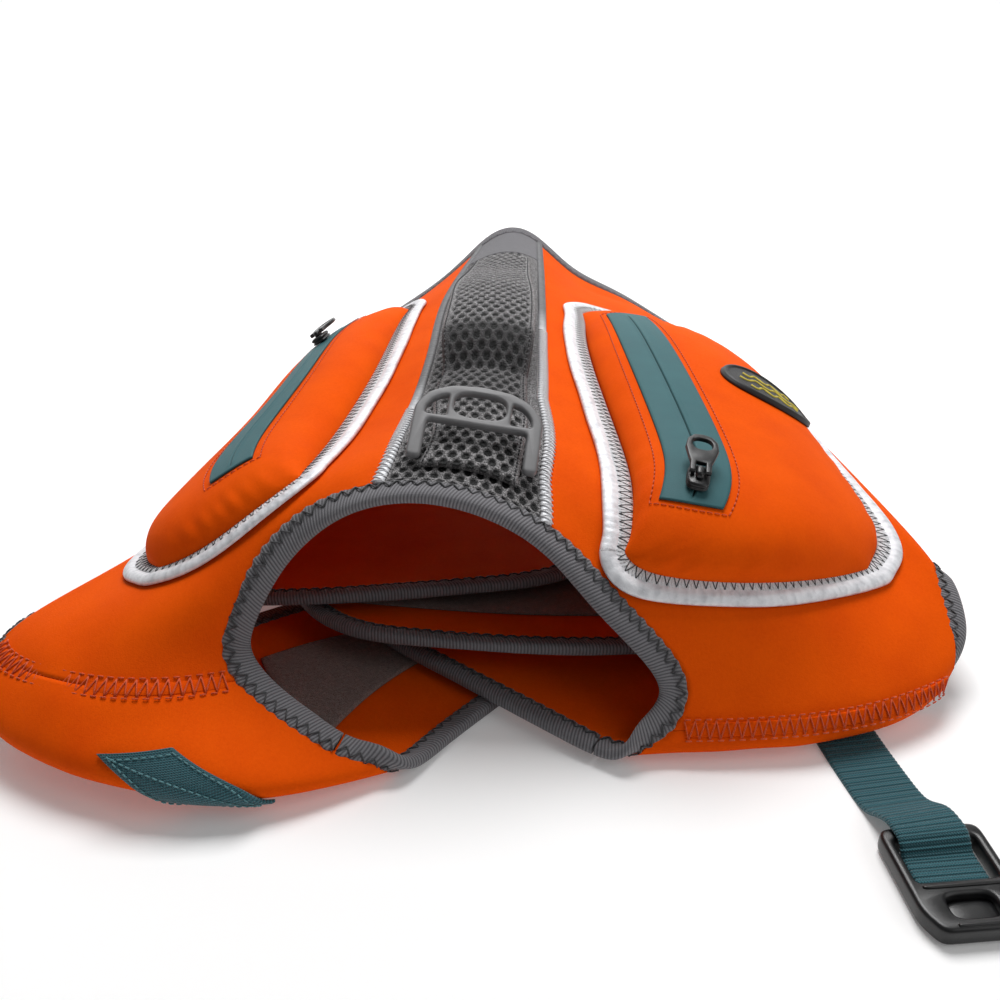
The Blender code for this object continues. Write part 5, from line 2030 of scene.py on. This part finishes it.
    def build_zip(self) -> None:
        """The coated tape, raised at its lips, with a slit down its middle, in a stitched window."""
        window = ZIPS[self.side]
        half = np.array([window.half_width, 0.0])
        line = self.zip_line(np.linspace(0, 1, 130))
        share = np.concatenate([np.linspace(0, 0.44, 12), np.linspace(0.455, 0.545, 13),
                                np.linspace(0.56, 1, 12)])
        grid = between(line - half, line + half, share)
        uv = self.eased(float_uv(self.side, grid))
        lift = self.eased(float_lift(self.side, grid)[..., None])[..., 0]
        base = FLOAT_BASE + FLOAT_FLANGE + lift + SEAM
        low = lifted(garment, uv, base)
        width = float(np.median(np.linalg.norm(low[:, -1] - low[:, 0], axis=-1)))
        off = (share - 0.5) * width
        slit = np.exp(-((off / 0.30)**2))
        lips = self.lip * np.exp(-((np.abs(off) - 1.0) / 0.7)**2)
        height = self.tape + lips - self.tape * slit
        ends = smooth_step(from_ends(130), 2.0, 6.0)[:, None]
        high = lifted(garment, uv, base + self.tape + (height - self.tape) * ends)
        # the hole mark paints shade into the slit
        self.cloth(f"zip_tape_{self.side.value}", low, high, "tape_coated", "tape", "stretched",
                   {"hole": slit * ends}, (f"float_{self.side.value}_finished",))
        self.build_window_stitches(line, half, width)

    def build_window_stitches(self, line: Array, half: Array, width: float) -> None:
        """The tone-on-tone row of stitches round the window.

        Args:
            line: the window's middle in the float's square.
            half: its half width there.
            width: its width in millimetres.
        """
        out = half * (1 + 2 * 3.4 / width)
        step = (line[1] - line[0]) * 2.6
        left, right = line - out, line + out
        share = np.linspace(0, 1, 12)
        rear = between(left[-1:] + step, right[-1:] + step, share)[0]
        front = between(right[:1] - step, left[:1] - step, share)[0]
        loop = np.concatenate([left, rear, right[::-1], front, left[:1]])
        normal = outward(self.top, loop)
        ribbon = Ribbon(self.top(loop) + normal * 0.12, normal, True).resampled(1.0)
        paths, up = dashes(ribbon, 2.9, 0.72, 0.34)
        item = threads(f"window_stitches_{self.side.value}", paths, up, 0.24, 4)
        self.dress(item, "thread_orange", "neoprene")

    def slider_frame(self) -> Array:
        """The slider's frame: on the tape, y along the zip.

        Returns:
            The frame.
        """
        window = ZIPS[self.side]
        share = (window.slider - window.front) / (window.rear - window.front)
        spot, toward = self.zip_line(np.array([share, share + 0.12]))
        return frame_on(self.top, spot, toward, SEAM + 0.9 + window.slider_gap)

    def build(self) -> None:
        """Makes the float and what is on it."""
        self.build_body()
        self.build_binding()
        self.build_zip()
        body = Body.PULL_RIGHT if self.side is Side.RIGHT else Body.PULL_LEFT
        Slider(self.finish, self.side, body).build(self.slider_frame())


@dataclass
class Slider(Assembly):
    """A zip slider with its bridge, and its hinged open pull."""

    side: Side = Side.RIGHT
    body: Body = Body.PULL_RIGHT
    size: tuple[float, float, float] = (9.0, 13.0, 3.4)
    bridge: tuple[float, float, float] = (3.0, 6.4, 2.8)
    axis_height: float = 1.7
    half_thickness: float = 1.0
    pull_half: float = 6.6
    pull_length: float = 23.0
    hole: Slot = Slot(0, 16.5, 4.0, 3.6, 0.8)

    @staticmethod
    def block(name: str, steps: tuple[tuple[float, ...], ...], place: Array,
              squareness: float = 3.5) -> bpy.types.Object:
        """A moulded block: rings of squarish ovals of given half sizes and heights, closed at both ends.

        Args:
            name: the piece's name.
            steps: half width, half length and height of each ring.
            place: its frame.
            squareness: power of the ovals.
        Returns:
            The object.
        """
        count = 32
        angle = full_turn(count)
        ring = squarish(np.stack([np.cos(angle), np.sin(angle)], -1), 2 / squareness)
        table = np.array(steps)
        rings = np.concatenate([ring[None] * table[:, None, :2],
                                np.broadcast_to(table[:, None, 2:], (len(table), count, 1))], -1)
        points = rings @ place[:3, :3].T + place[:3, 3]
        ends = np.stack([np.arange(count)[::-1], np.arange(count) + (len(table) - 1) * count])
        return new_piece(name, points, [grid_quads(len(table), count, 0, False, True), ends])

    def build(self, place: Array) -> None:
        """Makes the slider and its pull.

        Args:
            place: the slider's frame.
        """
        x, y, z = self.size[0] / 2, self.size[1] / 2, self.size[2]
        base = ((x - 1.2, y - 1.2, 0.0), (x - 0.3, y - 0.3, 0.25), (x, y, 0.8), (x - 0.5, y - 0.2, 1.15),
                (x - 0.9, y - 0.5, 1.5), (x - 0.5, y - 0.2, 1.85), (x, y, 2.3), (x - 0.3, y - 0.3, 3.0),
                (x - 1.2, y - 1.2, z))
        bx, by, top = self.bridge[0] / 2, self.bridge[1] / 2, z + self.bridge[2]
        arch = ((bx, by, z - 0.4), (bx, by, z + 1.2), (bx, by - 0.3, top - 0.8),
                (bx - 0.35, by - 0.9, top - 0.2), (bx - 0.8, by - 1.6, top))
        name = f"slider_{self.side.value}"
        pieces = [self.block(name + "_base", base, place), self.block(name + "_bridge", arch, place)]
        item = joined(name, pieces)
        item.data.polygons.foreach_set("use_smooth", [True] * len(item.data.polygons))
        self.dress(item, "plastic_black", "black", name)
        self.build_pull(place)

    def build_pull(self, place: Array) -> None:
        """The pull: an open loop with two prongs beside the bridge.

        Args:
            place: the slider's frame.
        """
        axis = place.copy()
        axis[:3, 3] += place[:3, 2] * (self.size[2] + self.axis_height)
        end = self.pull_length
        right = [(1.9, 4.6), (1.9, -1.0), (4.2, -1.0), (4.2, 4.6), (self.pull_half - 1.5, 7.6),
                 (self.pull_half, end - 9), (self.pull_half - 0.6, end - 4), (self.pull_half - 3, end - 0.8)]
        outline = right + [(0.0, end)] + [(-px, py) for px, py in reversed(right)]
        name = f"zip_pull_{self.side.value}"
        half = self.half_thickness
        item = moulded_plate(name, outline, [oval(self.hole)], -half, half, 0.55, axis)
        self.dress(item, "plastic_black", "black", name, body=self.body)


@dataclass
class Badge(Assembly):
    """The oval rubber badge on the right float: a raised rim, and plain waves in place of a motif."""

    place: Pair = (0.37, 0.30)
    half: Pair = (0.35, 0.10)
    height: float = 2.4
    rim: float = 0.8

    def build(self) -> None:
        """Makes the badge as a disc of rings, and its waves."""
        carrier = Float(self.finish, Side.RIGHT)
        radius = np.concatenate([np.linspace(0.02, 0.80, 10), np.linspace(0.83, 1.0, 12)])
        angle = np.arange(96) * 2 * math.pi / 96
        spokes = np.stack([np.cos(angle), np.sin(angle)], -1) * np.array(self.half)
        grid = np.array(self.place) + spokes[:, None] * radius[None, :, None]
        bead = np.exp(-((radius - 0.925) / 0.045)**4)
        fall = smooth_step(radius, 0.965, 1.0)
        height = (self.height - self.rim) + self.rim * bead - 0.9 * fall
        low = lifted(carrier.top, grid, SEAM)
        high = lifted(carrier.top, grid, SEAM + height)
        item = closed_sheet("badge", low, high, wrap=True)
        self.dress(item, "rubber_black", "black", "badge")
        waves = []
        for number, (offset, reach) in enumerate(((-0.036, 0.52), (0.0, 0.66), (0.036, 0.52))):
            share = np.linspace(-1, 1, 60)
            x = self.place[0] + self.half[0] * reach * share
            y = self.place[1] + offset + 0.010 * np.sin(share * 9.5)
            path = np.stack([x, y], -1)
            normal = outward(carrier.top, path)
            points = carrier.top(path) + normal * (SEAM + self.height - self.rim)
            waves.append(threads(f"wave_{number}", points[None], normal[None], 0.62, 8))
        self.dress(joined("badge_waves", waves), "rubber_yellow", "black")


@dataclass
class Trim(Assembly):
    """Leash ring, loop patches, webbing anchor, strap and buckle."""

    ring_place: Pair = (0.06, 0.9)
    ring_aim: Pair = (0.0, 1.4)
    ring_lift: float = 13.6
    ring_tilt: float = math.radians(24)
    ring_thickness: float = 3.6
    ring_half: tuple[Pair, ...] = ((0, 12), (12, 10.8), (20.5, 6.5), (25.2, -1), (25.2, -25),
                                   (19.6, -25), (19.6, -7), (0, -7))
    ring_slot: Slot = Slot(0, 2.2, 10.4, 5.8, 0.66)
    ring_window: tuple[Pair, ...] = ((12.6, -4.3), (20.9, -4.3), (20.6, -0.8), (18.7, 2.4), (16.0, 4.6),
                                     (12.6, 5.8))
    left_loop: tuple[Pair, ...] = ((-5.76, 0.86), (-6.46, 1.18), (-6.48, 1.62), (-5.82, 1.70))
    belly_loop: tuple[Pair, ...] = ((5.9, 3.12), (6.85, 3.12), (6.85, 3.9), (5.9, 3.9))
    loop_gap: float = 0.5
    loop_base: float = 0.9
    anchor: tuple[Pair, ...] = ((-4.55, 1.10), (-4.50, 0.72), (-5.15, 0.62), (-5.15, 1.02))
    anchor_gap: float = 0.5
    webbing: float = 1.6
    strap_half: float = 12.5
    strap: tuple[StrapRow, ...] = (
        StrapRow(132.0, 34, 0.75, 9), StrapRow(134.2, 21, 0.3, 9), StrapRow(136.6, 7, 0.0, 9),
        StrapRow(139.6, -9, 0.0, 10), StrapRow(141.8, -20, 1.5, 11), StrapRow(143.5, -28, 6.4, 12),
        StrapRow(144.6, -33, 8.4, 12), StrapRow(145.4, -37, 8.7, 10), StrapRow(146.1, -41, 8.0, 8),
        StrapRow(146.6, -44.5, 4.4, 7), StrapRow(147.1, -48, 3.2, 6), StrapRow(148.2, -57.4, 3.2, 6),
    )
    buckle_place: tuple[float, float, float] = (148.4, -56.4, 0.6)
    buckle_turn: float = math.radians(5.5)
    buckle_thickness: float = 7.0
    buckle_half: tuple[Pair, ...] = ((0, 22), (15.5, 22), (18, 19.5), (18, -13), (14, -22), (0, -22))
    buckle_slots: tuple[Slot, ...] = (Slot(0, 7.0, 14.0, 9.0, 0.12), Slot(0, -12.5, 8.0, 4.5, 0.5))

    def build_ring(self) -> None:
        """The leash ring, leaning on the handle."""
        place = turned(frame_on(garment, self.ring_place, self.ring_aim, self.ring_lift), self.ring_tilt)
        outline = rounded_outline(mirrored(self.ring_half), 2.2)
        window = rounded_outline(list(self.ring_window), 1.0)
        other = rounded_outline([(-x, y) for x, y in reversed(self.ring_window)], 1.0)
        holes = [oval(self.ring_slot), window, other]
        item = moulded_plate("leash_ring", outline, holes, 0.0, self.ring_thickness, 1.1, place)
        self.dress(item, "plastic_grey", "ring", "leash_ring")

    def build_patch(self, name: str, corners: tuple[Pair, ...], rows: int, columns: int) -> None:
        """A loop patch under a flap: a thin sheet with a tufted face away from the cloth.

        Args:
            name: the node.
            corners: its (u, v) pairs.
            rows, columns: size of its grid.
        """
        grid = four_corners(corners, rows, columns)
        random = np.random.default_rng(7)
        tufts = random.random((rows, columns)) * 0.5
        fade = smooth_step(np.minimum.outer(from_ends(rows), from_ends(columns)), 0.0, 3.0)
        low = lifted(garment, grid, -self.loop_gap - self.loop_base - (0.5 + tufts) * fade)
        high = lifted(garment, grid, -self.loop_gap)
        self.cloth(name, low, high, "pile_loop", "loop")

    def build_anchor(self) -> None:
        """The webbing anchor on the left chest, with a stitched border and a diagonal row."""
        grid = four_corners(self.anchor, 60, 46)
        low = lifted(garment, grid, WALL + self.anchor_gap)
        edge = 0.5 * (1 - smooth_step(from_ends(46), 0.0, 2.0))
        high = lifted(garment, grid, WALL + self.anchor_gap + self.webbing - edge)
        self.cloth("webbing_anchor_left", low, high, "webbing_teal", "teal")
        rows = [grid[4:56, 4], grid[4:56, 41]]
        rows.append(np.linspace(grid[3, 4], grid[56, 41], 50))
        rows.append(np.linspace(grid[5, 4], grid[5, 41], 30))
        rows.append(np.linspace(grid[54, 4], grid[54, 41], 30))
        pieces = []
        for number, path in enumerate(rows):
            ribbon = ribbon_on(garment, path, WALL + self.anchor_gap + self.webbing).resampled(1.0)
            paths, up = dashes(ribbon, 2.6, 0.66, 0.35)
            pieces.append(threads(f"anchor_row_{number}", paths, up, 0.3, 4))
        self.dress(joined("anchor_stitches", pieces), "thread_teal", "teal")

    def build_strap(self) -> None:
        """The webbing strap: a ribbed tape along the splined rows, running down into the buckle's window."""
        table = np.array(self.strap, dtype=float)
        places = np.linspace(0, len(table) - 1, 500)
        fine = spline_weights(np.arange(float(len(table))), places) @ table
        lengths = run_lengths(fine[:, :3])
        even = np.linspace(0, lengths[-1], 380)
        fine = read_at(even, lengths, fine)
        turn = np.radians(fine[:, 3])
        across = np.stack([np.cos(turn), np.sin(turn), np.zeros_like(turn)], -1)
        along = np.gradient(fine[:, :3], axis=0)
        up = unit(np.cross(along, across))
        up = np.where(up[:, 2:] < 0, -up, up)
        reach = np.linspace(-self.strap_half, self.strap_half, 30)[None, :, None]
        low = fine[:, None, :3] + across[:, None] * reach
        low[..., 2] = np.maximum(low[..., 2], 0.0)
        rib = 0.16 * np.cos(2 * math.pi * even / 1.9)[:, None]
        edge = 0.5 * smooth_step(np.abs(reach[..., 0]), self.strap_half - 1.1, self.strap_half)
        high = low + up[:, None] * (self.webbing - 0.1 + rib - edge)[..., None]
        self.cloth("strap", low, high, "webbing_teal", "teal", "laid")

    def build_buckle(self) -> None:
        """The buckle: a rounded frame with a window for the strap, and a ribbed closed nose."""
        place = np.eye(4)
        cosine, sine = math.cos(self.buckle_turn), math.sin(self.buckle_turn)
        place[:2, :2] = ((cosine, -sine), (sine, cosine))
        place[:3, 3] = self.buckle_place
        outline = rounded_outline(mirrored(self.buckle_half), 3.4)
        plate = moulded_plate("buckle_plate", outline, [oval(slot) for slot in self.buckle_slots], 0.0,
                              self.buckle_thickness, 1.7, place)
        pieces = [plate]
        for number, (y, half) in enumerate(((-4.6, 13.5), (-20.0, 9.0))):
            ridge = place.copy()
            ridge[:3, 3] = place[:3, :3] @ np.array([0.0, y, self.buckle_thickness - 0.5]) + place[:3, 3]
            steps = ((half, 0.9, 0.0), (half, 0.9, 0.6), (half - 0.4, 0.6, 1.0), (half - 0.9, 0.2, 1.1))
            pieces.append(Slider.block(f"buckle_ridge_{number}", steps, ridge, 5.0))
        tongue = place.copy()
        tongue[:3, 3] = place[:3, :3] @ np.array([0.0, -12.5, 0.8]) + place[:3, 3]
        steps = ((8.6, 5.0, 0.0), (8.6, 5.0, 2.6), (8.0, 4.6, 3.0), (6.0, 3.2, 3.4), (2.0, 1.2, 3.5))
        pieces.append(Slider.block("buckle_tongue", steps, tongue, 3.0))
        self.dress(joined("buckle", pieces), "plastic_black", "black", "buckle")

    def build(self) -> None:
        """Makes the trim."""
        self.build_ring()
        self.build_patch("loop_patch_chest", self.left_loop, 110, 66)
        self.build_patch("loop_patch_belly", self.belly_loop, 90, 110)
        self.build_anchor()
        self.build_buckle()
        self.build_strap()


# Studio


@dataclass
class Studio:
    """A pale floor, soft light and the camera at the photograph's angle."""

    camera_place: tuple[float, float, float] = (0.00566, -0.47683, 0.28)
    camera_pitch: float = math.radians(62)
    lens: float = 38.95
    floor_colour: Colour = (0.92, 0.92, 0.92)

    def build_floor(self) -> None:
        """A plain floor that fades up behind, as one swept sheet."""
        y = np.array([-3.0, -1.0, 0.0, 1.0, 2.0, 2.6, 3.0, 3.2, 3.25, 3.25])
        z = np.array([0.0, 0.0, 0.0, 0.0, 0.0, 0.08, 0.3, 0.8, 1.6, 3.0])
        x = np.linspace(-3.5, 3.5, 8)
        points = np.stack([np.broadcast_to(x, (10, 8)), np.broadcast_to(y[:, None], (10, 8)),
                           np.broadcast_to(z[:, None], (10, 8))], -1)
        item = new_piece("studio_floor", points / MM + ORIGIN, [grid_quads(10, 8)])
        graph = Graph("paper_white")
        grain = graph.noise(graph.place(), 2.0, 2.0, 0.5)
        dim = tuple(0.985 * value for value in self.floor_colour)
        graph.finish(graph.mix(grain, dim, self.floor_colour), 0.9, grain, 0.02,
                     Emission_Color=(1.0, 1.0, 1.0, 1.0), Emission_Strength=0.12)
        item.data.materials.append(graph.material)

    def build_lights(self) -> None:
        """One big soft light overhead, one from the front left, a fill and a pale surround."""
        table = (
            ("light_top", (0.08, 0.55, 1.35), (math.radians(-21), math.radians(3), 0), 0.8, 21.5),
            ("light_front", (-0.8, -1.1, 1.2), (math.radians(46), 0, math.radians(-34)), 1.2, 0.1),
            ("light_fill", (1.2, -0.6, 0.9), (math.radians(50), 0, math.radians(62)), 1.2, 5.0),
            ("light_back", (0.0, 1.3, 1.6), (math.radians(-62), 0, math.radians(180)), 2.5, 60.0),
        )
        for name, place, turn, size, power in table:
            light = bpy.data.lights.new(name, "AREA")
            light.shape = "SQUARE"
            light.size = size
            light.energy = power
            item = linked(name, light)
            item.location = place
            item.rotation_euler = turn
        world = bpy.data.worlds.new("studio_world")
        world.use_nodes = True
        world.node_tree.nodes["Background"].inputs[0].default_value = (1.0, 1.0, 1.0, 1.0)
        world.node_tree.nodes["Background"].inputs[1].default_value = 0.16
        bpy.context.scene.world = world

    def build_camera(self) -> None:
        """The camera."""
        camera = bpy.data.cameras.new("camera")
        camera.lens = self.lens
        camera.sensor_width = 36.0
        camera.clip_start = 0.01
        item = linked("camera", camera)
        item.location = self.camera_place
        item.rotation_euler = (self.camera_pitch, 0.0, 0.0)
        bpy.context.scene.camera = item

    def build(self) -> None:
        """Makes the studio."""
        bpy.context.scene.view_settings.view_transform = "Standard"
        self.build_camera()
        self.build_floor()
        self.build_lights()


def main() -> None:
    """Builds the studio and the jacket, sub-assembly by sub-assembly."""
    logging.basicConfig(level=logging.INFO, format="%(name)s: %(message)s")
    Studio().build()
    finish = make_finishes()
    Panels(finish).build()
    Spine(finish).build()
    Handle(finish).build()
    for side in Side:
        Float(finish, side).build()
    Badge(finish).build()
    Bindings(finish).build()
    Trim(finish).build()


if __name__ == "__main__":
    main()
